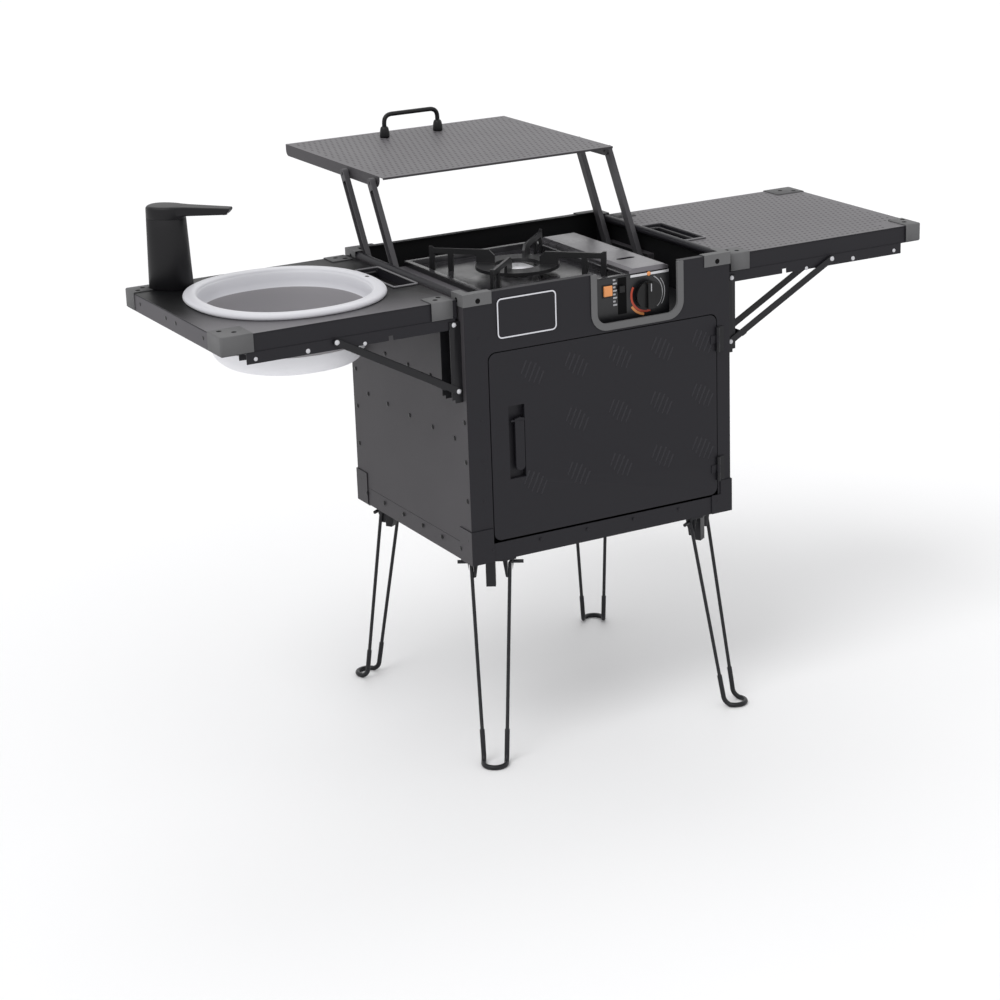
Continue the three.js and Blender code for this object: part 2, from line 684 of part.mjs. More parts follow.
const braceFoot = { x: half.x + brace.out, z: brace.z };
const braceHead = { x: shelfPivot.x + brace.top, z: shelfPivot.z + brace.rise };
function diagonalBrace(end) {
  const run = V2(braceHead.x - braceFoot.x, braceHead.z - braceFoot.z);
  const length = run.length();
  const across = brace.width / 2;
  const bar = new THREE.Shape();
  bar.absarc(0, 0, across, Math.PI / 2, Math.PI * 1.5);
  bar.absarc(length, 0, across, -Math.PI / 2, Math.PI / 2);
  const inside = channel.width / 2 + gap;
  const bars = Object.values(ends).map((e) =>
    plate("xz", bar, e * inside, e * (inside + brace.thick)),
  );
  const crossStrap = block(
    [strap.at - strap.width / 2, strap.at + strap.width / 2],
    [-inside - brace.thick, inside + brace.thick],
    [-across - strap.edge, -across + gap],
  );
  const bore = rod("y", V3(0, 0, 0), 2 * channel.width, armPin.bore, 10);
  const made = cut(join(...bars, crossStrap), bore)
    .rotate([0, -THREE.MathUtils.radToDeg(run.angle()), 0])
    .translate([braceFoot.x, arm.y, braceFoot.z]);
  return flipped(made, end);
}

function shelfSheet(hole) {
  const y = shelf.depth / 2;
  const low = shelfTop - shelf.sheet;
  const mouth = roundedBox(dishX[0], dishY[0], dish.width, dish.length, dish.corner);
  const wall = dish.wall;
  const outside = roundedBox(
    dishX[0] - wall,
    dishY[0] - wall,
    dish.width + 2 * wall,
    dish.length + 2 * wall,
    dish.corner + wall,
  );
  const floor = shelfTop - dish.depth;
  const sheet = join(
    block([shelfIn, shelfOut], [-y, y], [low, shelfTop]),
    plate("xy", outside, floor - wall, low + shelf.sheet / 2),
  );
  const open = cut(sheet, plate("xy", mouth, floor, shelfTop + over));
  const pins = Object.values(ends).map((e) => {
    const at = V3(dishX[0] + loop.pivot, dish.y + e * (dish.length / 2), shelfTop - loop.boss);
    return rod("y", at, 2 * wall, loop.boss - wall, 10);
  });
  return hole ? cut(join(open, ...pins), hole) : join(open, ...pins);
}

// The folding wire grip that lies in the dish
function carryLoop() {
  const [x, z] = [dishX[0] + loop.pivot, shelfTop - loop.boss];
  const reach = x + loop.reach - loop.pivot + loop.radius;
  const yEnd = dish.length / 2 - dish.wall - gap;
  const yArm = loop.length / 2;
  const at = (px, py) => V3(px, dish.y + py, z);
  const points = [at(x, -yEnd)];
  const knots = [at(x, -yEnd), at(x, -yArm), at(reach, -yArm), at(reach, yArm), at(x, yArm), at(x, yEnd)];
  const radii = [0, loop.radius, loop.corner, loop.corner, loop.radius];
  for (let i = 1; i < knots.length - 1; i++) {
    points.push(...corner(knots[i - 1], knots[i], knots[i + 1], radii[i], i > 1 && i < 4 ? 3 : 2));
  }
  points.push(at(x, yEnd));
  return wire(points, loop.radius, 6);
}

// Basin: a stiff rim on the shelf, a soft folding wall and a stiff cup below it
const opening = { x: basin.half - basin.rim, y: basin.halfY - basin.rim };
const ring = (inset, z) => ({
  points: oval(basin.x, basin.y, opening.x - inset, opening.y - inset),
  z,
});
const wallTop = shelfTop;
const cupTop = wallTop - bowl.wallHeight - gap;
const cupFloor = cupTop - bowl.cupHeight;
function basinRim() {
  const low = shelfTop + gap;
  const top = shelfTop + basin.rimTop;
  const step = basin.rim / 6;
  return loft([
    ring(0, low),
    ring(-basin.rim + step / 2, low),
    ring(-basin.rim, low + step),
    ring(-basin.rim + step, top - step / 2),
    ring(-basin.rim + 2 * step, top),
    ring(-2 * step, top),
    ring(-step / 2, top - step),
    ring(0, top - 2 * step),
  ]);
}
function basinWall() {
  const low = wallTop - bowl.wallHeight;
  const { wall } = bowl;
  return loft([
    ring(bowlTaper.wall, low),
    ring(0, wallTop),
    ring(wall, wallTop),
    ring(bowlTaper.wall + wall, low),
  ]);
}
function basinCup() {
  const { wall, shoulder, floor } = bowlTaper;
  const t = bowl.thick;
  const outside = loft(
    [ring(floor, cupFloor), ring(shoulder, cupFloor + bowl.curve), ring(wall, cupTop)],
    true,
  );
  const inside = loft(
    [
      ring(floor + t, cupFloor + t),
      ring(shoulder + t, cupFloor + bowl.curve + t),
      ring(wall + t, cupTop + over),
    ],
    true,
  );
  return cut(outside, inside);
}
function basinCut() {
  const shape = new THREE.Shape(ring(-bowl.clear, 0).points);
  return plate("xy", shape, frameTop, shelfTop + over);
}

// Tap: an oval column whose back leans in, and the head with the spout
const tapFoot = shelfTop + gap;
const tapTop = tapFoot + tap.height;
const capLow = tapTop - tap.cap;
function tapSection(z, shrink = 0) {
  const rise = (z - tapFoot) / tap.height;
  const points = [];
  const steps = 24;
  for (let i = 0; i < steps; i++) {
    const a = (2 * Math.PI * i) / steps;
    const c = Math.cos(a);
    const taper = c > 0 ? tapTaper.front : tapTaper.back;
    const along = tap.length / 2 - taper * rise - shrink;
    const across = tap.width / 2 - tapTaper.side * rise - shrink;
    points.push(V2(along * c, across * Math.sin(a)));
  }
  return { points, z };
}
function tapColumn() {
  const made = loft([tapSection(tapFoot), tapSection(capLow - gap)], true);
  return turned(made, tap.angle, tap.x, tap.y);
}
function tapHead() {
  const bevel = tap.cap / 6;
  const body = loft([tapSection(capLow), tapSection(tapTop - bevel), tapSection(tapTop, bevel)], true);
  const root = tap.length / 6;
  const tip = tapTop - spout.fall;
  const beam = new THREE.Shape();
  beam.moveTo(root, tapTop - spout.height);
  beam.lineTo(spout.reach - spout.tipHeight / 2, tip - spout.tipHeight);
  beam.lineTo(spout.reach, tip).lineTo(root, tapTop - over / 2);
  const taper = polygon([
    [root - over, -spout.width / 2],
    [spout.reach + over, -spout.tipWidth / 2],
    [spout.reach + over, spout.tipWidth / 2],
    [root - over, spout.width / 2],
  ]);
  const arm = plate("xz", beam, -spout.width, spout.width).intersect(
    plate("xy", taper, tapTop - 2 * tap.cap, tapTop + over),
  );
  return turned(join(body, arm), tap.angle, tap.x, tap.y);
}

// Stove
function stoveBody() {
  const { left, right, front, back, bottom, top, sheet } = stove;
  const shell = join(
    cut(
      block([left, right], [front, back], [bottom, top]),
      block([left + sheet, right - sheet], [front + sheet, back - sheet], [bottom + sheet, top + over]),
    ),
    block([bay.left - sheet, bay.left], [front, back], [bottom, top - 2 * sheet]),
  );
  const c = catchLever;
  return cut(
    shell,
    rod("y", V3(knob.x, front, knob.z), 2 * valve.depth, knob.hole, 12),
    block(
      [c.x - c.slot / 2, c.x + c.slot / 2],
      [front - over, front + 2 * sheet],
      [c.z - c.travel - c.height / 2, c.z + c.height / 2],
    ),
    block(
      [bay.left - 2 * sheet, bay.left + sheet],
      [front + 2 * sheet, burner.y + 2 * burner.body],
      [knob.z - valve.height, knob.z + burner.tube],
    ),
  );
}
function drainPan() {
  const { left, front, back, top } = stove;
  const rim = [top + gap, top + gap + pan.hem];
  const right = bay.left;
  const inside = [
    [left + pan.margin, right - pan.margin],
    [front + pan.margin, back - pan.margin],
  ];
  const outside = inside.map(([a, b]) => [a - pan.hem, b + pan.hem]);
  const made = cut(
    join(
      block([left, right - gap], [front, back], rim),
      block(...outside, [pan.floor - pan.hem, rim[1]]),
    ),
    block(...inside, [pan.floor, rim[1] + over]),
  );
  return cut(made, rod("z", V3(burner.x, burner.y, pan.floor), 2 * pan.margin, burner.hole, 20));
}
function burnerHead() {
  const { x, y, body, crown, crownTop, tube } = burner;
  const low = stove.bottom + stove.sheet + gap;
  const tubeZ = knob.z - valve.height / 2 + tube;
  const lathe = new THREE.LatheGeometry(
    [
      V2(0, low),
      V2(body / 2, low),
      V2(body / 2, tubeZ),
      V2(body, pan.floor - tube),
      V2(body, pan.floor),
      V2(crown, pan.floor + 2 * pan.hem),
      V2(crown, crownTop - tube),
      V2(crown / 2, crownTop),
      V2(0, crownTop - tube / 2),
    ],
    20,
  ).rotateX(Math.PI / 2);
  const head = turned(solid(lathe), 0, x, y);
  const behind = stove.front + stove.sheet + gap;
  const valveY = [behind + valve.depth / 3, behind + valve.depth];
  const block1 = block(
    [knob.x - valve.width / 2, knob.x + valve.width / 2],
    valveY,
    [knob.z - valve.height / 2, knob.z + valve.height / 2],
  );
  const bendY = valveY[1] - tube;
  const path = [V3(x, y, tubeZ), V3(knob.x - valve.width, bendY, tubeZ), V3(knob.x, bendY, tubeZ)];
  return join(head, block1, wire(path, tube, 8));
}
function potGrate() {
  const { outer, hole, ringTop, ring: deep, top, reach, thick, bar, horn } = grate;
  const mid = (ringTop + ringTop - deep) / 2;
  const band = cut(
    rod("z", V3(0, 0, mid), deep, outer, 32),
    rod("z", V3(0, 0, mid), 2 * deep, hole, 24),
  );
  const foot = pan.floor + gap;
  const under = top - bar;
  const legs = [reach, reach - 3 * bar - thick];
  const arm = polygon([
    [hole, ringTop - deep],
    [outer, ringTop - deep],
    [outer, under],
    [legs[1] - bar, under],
    [legs[1] - bar, foot],
    [legs[1], foot],
    [legs[1], under],
    [legs[0] - bar, under],
    [legs[0] - bar, foot],
    [legs[0], foot],
    [legs[0], top + horn],
    [legs[0] - bar / 2, top + horn],
    [legs[0] - bar, top],
    [hole + bar, top],
    [hole, under],
  ]);
  const one = plate("xz", arm, -thick / 2, thick / 2);
  const arms = [0, 1, 2, 3].map((i) => turned(one, grateAngle + 90 * i));
  return turned(join(band, ...arms), 0, burner.x, burner.y);
}
function canisterCover() {
  const { left, front, back, top, bevel } = bay;
  const { slot, slotWide, slotY } = bayMouth;
  const right = stove.right;
  const low = stove.top + gap;
  const profile = (inset) =>
    polygon([
      [left + gap + inset, low - (inset ? over : 0)],
      [right - inset, low - (inset ? over : 0)],
      [right - inset, top - bevel / 2],
      [right - bevel - inset / 2, top - inset],
      [left + gap + bevel + inset / 2, top - inset],
      [left + gap + inset, top - bevel / 2],
    ]);
  const sheet = stove.sheet;
  const mouth = roundedBox((left + right - slot) / 2, slotY - slotWide / 2, slot, slotWide, slotWide / 2 - gap);
  return cut(
    plate("xz", profile(0), front, back),
    plate("xz", profile(sheet), front + sheet, back - sheet),
    plate("xy", mouth, top - 2 * sheet, top + over),
  );
}
function stoveKnob() {
  const face = stove.front - 2 * gap;
  const mid = face - knob.thick / 2;
  const disc = rod("y", V3(knob.x, mid, knob.z), knob.thick, knob.radius, 28, knob.radius - knob.thick / 4);
  const bar = block(
    [knob.x - knob.barWide / 2, knob.x + knob.barWide / 2],
    [face - knob.thick - knob.bar, mid],
    [knob.z - knob.radius + knob.thick / 4, knob.z + knob.radius - knob.thick / 4],
  );
  const shaftEnd = stove.front + stove.sheet + valve.depth / 3;
  const shaft = rod("y", V3(knob.x, (mid + shaftEnd) / 2, knob.z), shaftEnd - mid, knob.shaft, 10);
  return join(disc, bar, shaft);
}
function canisterLever() {
  const c = catchLever;
  const face = stove.front - gap;
  const inside = stove.front + stove.sheet + gap;
  const z = [c.z - c.height / 2, c.z + c.height / 2];
  return join(
    block([c.x - c.width / 2, c.x + c.width / 2], [face - c.thick, face], z),
    block(
      [c.x - c.stem / 2, c.x + c.stem / 2],
      [face - c.thick / 2, inside + c.thick / 2],
      [c.z - c.height / 4, c.z + c.height / 4],
    ),
    block([c.x - c.width / 2, c.x + c.width / 2], [inside, inside + c.thick / 2], z),
  );
}

// Lid and its four links. The upper pivots sit in the lid's side folds.
const lidY = [half.y - lid.front, half.y - lid.front + lid.depth];
const linkHead = { y: lidY[0] + linkPivot.fromFront + link.pitch, z: lid.top - linkPivot.below };
const linkFoot = {
  y: linkHead.y - link.length * Math.sin(rad(link.lean)),
  z: linkHead.z - link.length * Math.cos(rad(link.lean)),
};
function lidPanel() {
  const x = lid.width / 2;
  const { sheet, flange, hem, nose } = lid;
  const radius = flange / 2;
  const top = block([-x, x], lidY, [lid.top - sheet, lid.top]);
  const s = new THREE.Shape();
  s.moveTo(lidY[0] + nose, lid.top);
  s.lineTo(lidY[0] + nose, lid.top - flange + nose);
  s.absarc(lidY[0] + 2 * nose, lid.top - flange + nose, nose, Math.PI, 1.5 * Math.PI);
  s.lineTo(lidY[1] - radius, lid.top - flange);
  s.absarc(lidY[1] - radius, lid.top - flange + radius, radius, -Math.PI / 2, 0);
  s.lineTo(lidY[1], lid.top);
  const folds = Object.values(sides).map((i) => plate("yz", s, i * (x - sheet), i * x));
  const front = block([-x, x], [lidY[0], lidY[0] + sheet], [lid.top - hem, lid.top]);
  const back = block([-x, x], [lidY[1] - sheet, lidY[1]], [lid.top - flange / 2, lid.top]);
  const studs = Object.values(sides).flatMap((i) =>
    [0, 1].map((j) =>
      rod(
        "x",
        V3(i * (linkPivot.side - link.thick / 4), linkHead.y - j * link.pitch, linkHead.z),
        link.thick + link.thick / 2 + sheet,
        link.pin,
      ),
    ),
  );
  return join(top, ...folds, front, back, ...studs);
}
function lidLink(side, place) {
  const across = link.width / 2;
  const s = new THREE.Shape();
  s.absarc(0, link.length, across, 0, Math.PI);
  s.absarc(0, 0, across, Math.PI, 2 * Math.PI);
  const t = link.thick / 2;
  const bar = plate("yz", s, -t, t, 6);
  const hollow = block(
    [-t - over, t - link.wall],
    [-across + link.wall, across - link.wall],
    [2 * across, link.length - 2 * across],
  );
  const bores = [0, link.length].map((z) => rod("x", V3(0, 0, z), 2 * link.thick, link.bore));
  const made = cut(bar, side < 0 ? hollow : hollow.mirror([1, 0, 0]), ...bores);
  return made
    .rotate([-link.lean, 0, 0])
    .translate([side * linkPivot.side, linkFoot.y - place * link.pitch, linkFoot.z]);
}
function lidHandle() {
  const y = lidY[1] - grip.fromBack;
  const x = grip.span / 2;
  const low = lid.top + gap;
  const at = (px, pz) => V3(px, y, pz);
  const top = low + grip.height;
  const points = [
    at(-x, low + gap),
    ...corner(at(-x, low), at(-x, top), at(x, top), grip.bend, 4),
    ...corner(at(-x, top), at(x, top), at(x, low), grip.bend, 4),
    at(x, low + gap),
  ];
  const collars = Object.values(sides).map((s) =>
    rod(
      "z",
      at(s * x, low + grip.collarHigh / 2),
      grip.collarHigh,
      grip.collar,
      14,
      grip.collarShare * grip.collar,
    ),
  );
  return join(wire(points, grip.radius, 10), ...collars);
}

// Legs. A leg is made with its pins along x and its foot towards +y, then turned to its corner.
const splay = Math.atan2(leg.tipX - leg.pivotX, leg.tipY - leg.pivotY);
const legOut = Math.hypot(leg.tipX - leg.pivotX, leg.tipY - leg.pivotY) - leg.sleeve;
function legWire() {
  const { top, low, pin, bend, foot: toe, sleeveLength, sides: n, arc } = legShape;
  const ground = leg.sleeve + leg.below - stand.height;
  const kneeY = legOut - toe;
  const half1 = [];
  const knee = V3(low, kneeY, ground);
  const head = V3(top, 0, 0);
  half1.push(V3(pin, 0, 0));
  half1.push(...corner(V3(pin, 0, 0), head, knee, bend, 3));
  const sleeveTop = knee.clone().add(head.clone().sub(knee).setLength(sleeveLength));
  half1.push(sleeveTop, sleeveTop.clone().lerp(knee, share.step));
  half1.push(...corner(head, knee, V3(low, legOut, ground), 3 * leg.sleeve, 3));
  for (let i = 0; i <= arc / 2; i++) {
    const a = (Math.PI / 2) * (i / (arc / 2));
    half1.push(V3(low * Math.cos(a), legOut - low + low * Math.sin(a), ground));
  }
  const other = half1.slice(0, -1).reverse().map((p) => V3(-p.x, p.y, p.z));
  const path = [...half1, ...other];
  const from = half1.indexOf(sleeveTop);
  const dipped = (i) => i > from && i < path.length - 1 - from;
  return wire(path, path.map((_, i) => (dipped(i) ? leg.sleeve : leg.rod)), n);
}
function legBracket(angle, spot) {
  const low = leg.below - gap - foot.plate;
  const base = block(
    [-foot.length / 2, foot.length / 2],
    [-foot.width / 2, foot.width / 2],
    [low, leg.below - gap],
  );
  const ears = Object.values(sides).map((s) => {
    const at = V3(s * ear.at, 0, leg.below - gap - ear.height / 2);
    const cone = rod("z", at, ear.height, ear.endRadius, 12, ear.topRadius);
    const x = [s * (legShape.top - ear.slot / 2), s * (legShape.top + ear.slot / 2)];
    const slot = block(x, [-foot.width, ear.open], [-ear.height, low - over]);
    const bore = rod("x", V3(s * (pinSpan / 2 + legShape.top), 0, 0), pinSpan, ear.bore, 10);
    return cut(cone, slot, bore);
  });
  const y = [-foot.latchOut / 2, foot.latchOut / 2];
  const latchLow = leg.below - foot.latchHigh;
  const outline = polygon([
    [y[0], leg.below - gap],
    [y[0], latchLow + foot.latch / 2],
    [y[0] + foot.latchOut / 4, latchLow],
    [y[1], latchLow],
    [y[1], leg.below - gap],
  ]);
  const latch = plate("yz", outline, -foot.latchEnd / 2, foot.latchEnd / 2);
  const made = join(base, ...ears, latch).rotate([0, 0, angle]).translate(spot);
  const trimmed = made.intersect(
    block([-half.x, half.x], [-half.y, half.y], [-foot.latchHigh - leg.below, 0]),
  );
  return trimmed.translate(spot.map((v) => -v));
}
const pinSpan = legShape.pin - legShape.top;

// Assembly
add("base_tray", baseTray(), paint.black);
add("back_panel", backPanel(), paint.black);
add("front_fascia", frontFascia(), paint.black);
add("notch_trim", notchTrim(), paint.grey);
add("badge_plate", badgePlate(), paint.steel);
add("stove_deck", stoveDeck(), paint.black);
add("door_panel", doorPanel(), paint.black);
add("door_pull", doorPull(), paint.plastic);
hingeHeights.forEach((low, i) => add(["upper", "lower"][i] + "_hinge", hingeLeaf(low), paint.black));

for (const [side, s] of Object.entries(sides)) {
  add(side + "_side_panel", mirrored(sidePanel(), s), paint.side);
  const frame = mirrored(shelfFrame(), s);
  add(side + "_shelf_frame", frame, paint.black);
  const sheet = mirrored(shelfSheet(), s);
  add(side + "_shelf_top", s < 0 ? cut(sheet, basinCut()) : sheet, s < 0 ? paint.shelfTop : paint.worktop);
  add(side + "_carry_loop", mirrored(carryLoop(), s), paint.steel);
  for (const [end, e] of Object.entries(ends)) {
    const place = end + "_" + side;
    add(place + "_top_cap", mirrored(flipped(topCap(), e), s), paint.grey);
    add(place + "_wall_channel", mirrored(wallChannel(e), s), paint.black);
    add(place + "_brace", mirrored(diagonalBrace(e), s), paint.black);
    add(place + "_release_lever", mirrored(releaseLever(e), s), paint.black);
    add(place + "_lid_link", lidLink(s, e < 0 ? 1 : 0), paint.side);
    const turn = THREE.MathUtils.radToDeg(splay);
    const spot = [s * leg.pivotX, e * leg.pivotY, -leg.below];
    const angle = e > 0 ? -s * turn : 180 + s * turn;
    add(place + "_leg_bracket", legBracket(angle, spot), paint.black, ...spot);
    add(place + "_leg", legWire().rotate([0, 0, angle]), paint.black, ...spot);
  }
}

add("basin_rim", basinRim(), paint.silicone);
add("basin_wall", basinWall(), paint.base);
add("basin_cup", basinCup(), paint.silicone);
add("tap_column", tapColumn(), paint.plastic);
add("tap_head", tapHead(), paint.plastic);

add("stove_body", stoveBody(), paint.iron);
add("drip_pan", drainPan(), paint.steel);
add("burner", burnerHead(), paint.steel);
add("pot_grate", potGrate(), paint.iron);
add("canister_cover", canisterCover(), paint.steel);
add("stove_knob", stoveKnob(), paint.plastic);
add("canister_lever", canisterLever(), paint.plastic);

add("lid_panel", lidPanel(), paint.worktop);
add("lid_handle", lidHandle(), paint.iron);

// The origin is on the ground, under the middle of the whole outline.
const bounds = new THREE.Box3().setFromObject(kitchen);
const middle = bounds.getCenter(V3(0, 0, 0));
kitchen.children.forEach((mesh) => mesh.position.sub(V3(middle.x, middle.y, bounds.min.z)));

export default kitchen;
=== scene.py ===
# %% [markdown]
# A folding camping kitchen, dressed around its measured metal parts.
# The real one is a riveted sheet box on four hairpin legs. A lid rises over a gas stove on four
# links, and a shelf folds out on each side, the left one with a wash basin and a tap column.
# The frame holds every part at its true size, so each step here gives one group of parts
# the rounding, the fasteners and the finish that the real one has.

# %% Load the measured parts
import json
import math

import bmesh
import bpy
from mathutils import Matrix, Vector

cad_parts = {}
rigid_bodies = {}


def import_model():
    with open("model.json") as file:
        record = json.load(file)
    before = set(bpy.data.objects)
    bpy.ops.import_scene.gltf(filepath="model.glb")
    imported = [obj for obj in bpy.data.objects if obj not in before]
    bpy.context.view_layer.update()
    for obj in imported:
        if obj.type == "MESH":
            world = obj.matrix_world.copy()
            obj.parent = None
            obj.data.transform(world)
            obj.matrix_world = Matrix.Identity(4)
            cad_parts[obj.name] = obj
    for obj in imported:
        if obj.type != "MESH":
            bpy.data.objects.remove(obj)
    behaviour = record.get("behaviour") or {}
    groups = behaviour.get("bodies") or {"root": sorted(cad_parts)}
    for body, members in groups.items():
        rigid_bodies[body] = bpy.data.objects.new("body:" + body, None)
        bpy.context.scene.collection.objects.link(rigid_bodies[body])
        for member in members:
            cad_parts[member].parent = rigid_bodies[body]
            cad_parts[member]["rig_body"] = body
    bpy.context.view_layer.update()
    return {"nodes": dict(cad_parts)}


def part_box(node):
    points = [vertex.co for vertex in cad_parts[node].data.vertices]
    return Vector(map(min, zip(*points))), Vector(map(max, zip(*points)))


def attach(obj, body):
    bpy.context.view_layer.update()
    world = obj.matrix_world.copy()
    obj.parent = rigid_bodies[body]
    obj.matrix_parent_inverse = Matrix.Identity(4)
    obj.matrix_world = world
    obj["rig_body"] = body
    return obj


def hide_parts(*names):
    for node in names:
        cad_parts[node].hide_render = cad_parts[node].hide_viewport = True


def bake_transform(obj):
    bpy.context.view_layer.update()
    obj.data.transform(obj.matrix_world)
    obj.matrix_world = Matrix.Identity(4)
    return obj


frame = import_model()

nodes = frame["nodes"]

# %% [markdown]
# Sheet-metal drawings are in millimetres, measured from the underside of the cabinet at its
# middle. One small function turns such a place into the frame's metres, so every number below
# can be read like a drawing.

# %% Places in millimetres from the cabinet's underside
MM = 0.001
tray_low, tray_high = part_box("base_tray")
cabinet_middle = Vector((0, (tray_low.y + tray_high.y) / 2, tray_low.z))
SIDES = {"left": -1, "right": 1}
ENDS = {"front": -1, "back": 1}


def at(x, y, z):
    return cabinet_middle + MM * Vector((x, y, z))


# Half the cabinet's width and depth, then the top, both ends and half the depth of a shelf
HALF_X, HALF_Y = 270, 227
SHELF_TOP, SHELF_IN, SHELF_OUT, SHELF_HALF = 476, 274, 707, 211.5
print("cabinet middle", tuple(round(v, 4) for v in cabinet_middle))

# %% [markdown]
# The camera comes first. Its place and its long lens were worked out from the edges of the
# cabinet, the shelves and the lid in the photograph, and the small roll is the photographer's.

# %% Camera at the photograph's place
LENS, SENSOR, FARTHEST = 91.87, 36, 100
AZIMUTH, ELEVATION, ROLL = -28.4, 18.443, -2.0
camera_data = bpy.data.cameras.new("photo_camera")
camera_data.lens = LENS
camera_data.sensor_width = SENSOR
camera_data.clip_end = FARTHEST
camera = bpy.data.objects.new("photo_camera", camera_data)
bpy.context.scene.collection.objects.link(camera)
azimuth, elevation, roll = (math.radians(a) for a in (AZIMUTH, ELEVATION, ROLL))
look_back = Vector((
    math.sin(azimuth) * math.cos(elevation),
    -math.cos(azimuth) * math.cos(elevation),
    math.sin(elevation),
))
level_right = Vector((math.cos(azimuth), math.sin(azimuth), 0))
level_up = look_back.cross(level_right)
right = math.cos(roll) * level_right + math.sin(roll) * level_up
up = math.cos(roll) * level_up - math.sin(roll) * level_right
pose = Matrix((right, up, look_back)).transposed().to_4x4()
pose.translation = at(-2221.96, -3943.60, 1520.35)
camera.matrix_world = pose
bpy.context.scene.camera = camera
print("camera", tuple(round(v, 3) for v in pose.translation))

# %% [markdown]
# A catalogue picture has a white sweep and light from everywhere. A pale floor and a pale
# world give that, and one broad sun from the upper left draws the faces apart, because in the
# photograph the left ends of the shelves are lighter than their fronts. The sweep is pure white
# to the eye while its light is softer, so the sky has one strength where it is seen, also in
# a reflection, and a lower one where it only lights.

# %% Floor, world and lamps
FLOOR_REACH = 30
SKY_LIGHT, SKY_SEEN = 0.8, 1.0


def colour(red, green, blue):
    def channel(c):
        c /= 255
        return c / 12.92 if c <= 0.04045 else ((c + 0.055) / 1.055) ** 2.4

    return (channel(red), channel(green), channel(blue), 1)


def flat_material(name, rgb, rough):
    made = bpy.data.materials.new(name)
    made.use_nodes = True
    shader = made.node_tree.nodes["Principled BSDF"]
    shader.inputs["Base Color"].default_value = colour(*rgb)
    shader.inputs["Roughness"].default_value = rough
    return made


floor_mesh = bpy.data.meshes.new("studio_floor")
floor_corners = [
    (FLOOR_REACH * x, FLOOR_REACH * y, 0) for x, y in ((-1, -1), (1, -1), (1, 1), (-1, 1))
]
floor_mesh.from_pydata(floor_corners, [], [(0, 1, 2, 3)])
floor_mesh.materials.append(flat_material("studio_floor", (247, 247, 248), 0.9))
floor = bpy.data.objects.new("studio_floor", floor_mesh)
bpy.context.scene.collection.objects.link(floor)

world = bpy.data.worlds.new("soft_studio")
bpy.context.scene.world = world
world.use_nodes = True
sky = world.node_tree
background = sky.nodes["Background"]
background.inputs["Color"].default_value = (1, 1, 1, 1)
ray = sky.nodes.new("ShaderNodeLightPath")
seen = ray.outputs["Is Camera Ray"]
for kind in ("Is Glossy Ray", "Is Transmission Ray"):
    either = sky.nodes.new("ShaderNodeMath")
    either.operation = "MAXIMUM"
    sky.links.new(seen, either.inputs[0])
    sky.links.new(ray.outputs[kind], either.inputs[1])
    seen = either.outputs["Value"]
level = sky.nodes.new("ShaderNodeMapRange")
level.inputs["To Min"].default_value = SKY_LIGHT
level.inputs["To Max"].default_value = SKY_SEEN
sky.links.new(seen, level.inputs["Value"])
sky.links.new(level.outputs["Result"], background.inputs["Strength"])

for name, direction, strength, softness in (
    ("key_lamp", (-1.0, -0.45, 1.5), 0.95, 30),
    ("back_lamp", (0.6, 0.9, 1.2), 0.3, 30),
):
    lamp_data = bpy.data.lights.new(name, "SUN")
    lamp_data.energy = strength
    lamp_data.angle = math.radians(softness)
    lamp = bpy.data.objects.new(name, lamp_data)
    lamp.rotation_euler = Vector(direction).to_track_quat("Z", "Y").to_euler()
    bpy.context.scene.collection.objects.link(lamp)
bpy.context.scene.view_settings.view_transform = "Standard"
print("sky", SKY_LIGHT, SKY_SEEN, "lamps", len(bpy.data.lights))

# %% [markdown]
# Powder coat is a baked plastic skin on metal. Close up it has a fine orange-peel texture, a
# gloss that wanders a little, and small changes of shade where hands and dust have been. One
# recipe with its own numbers for each paint gives that, from noise in the object's own space.

# %% Coats and plastics
GLOSS_WANDER, DIMPLE_DEPTH = 0.07, 0.3


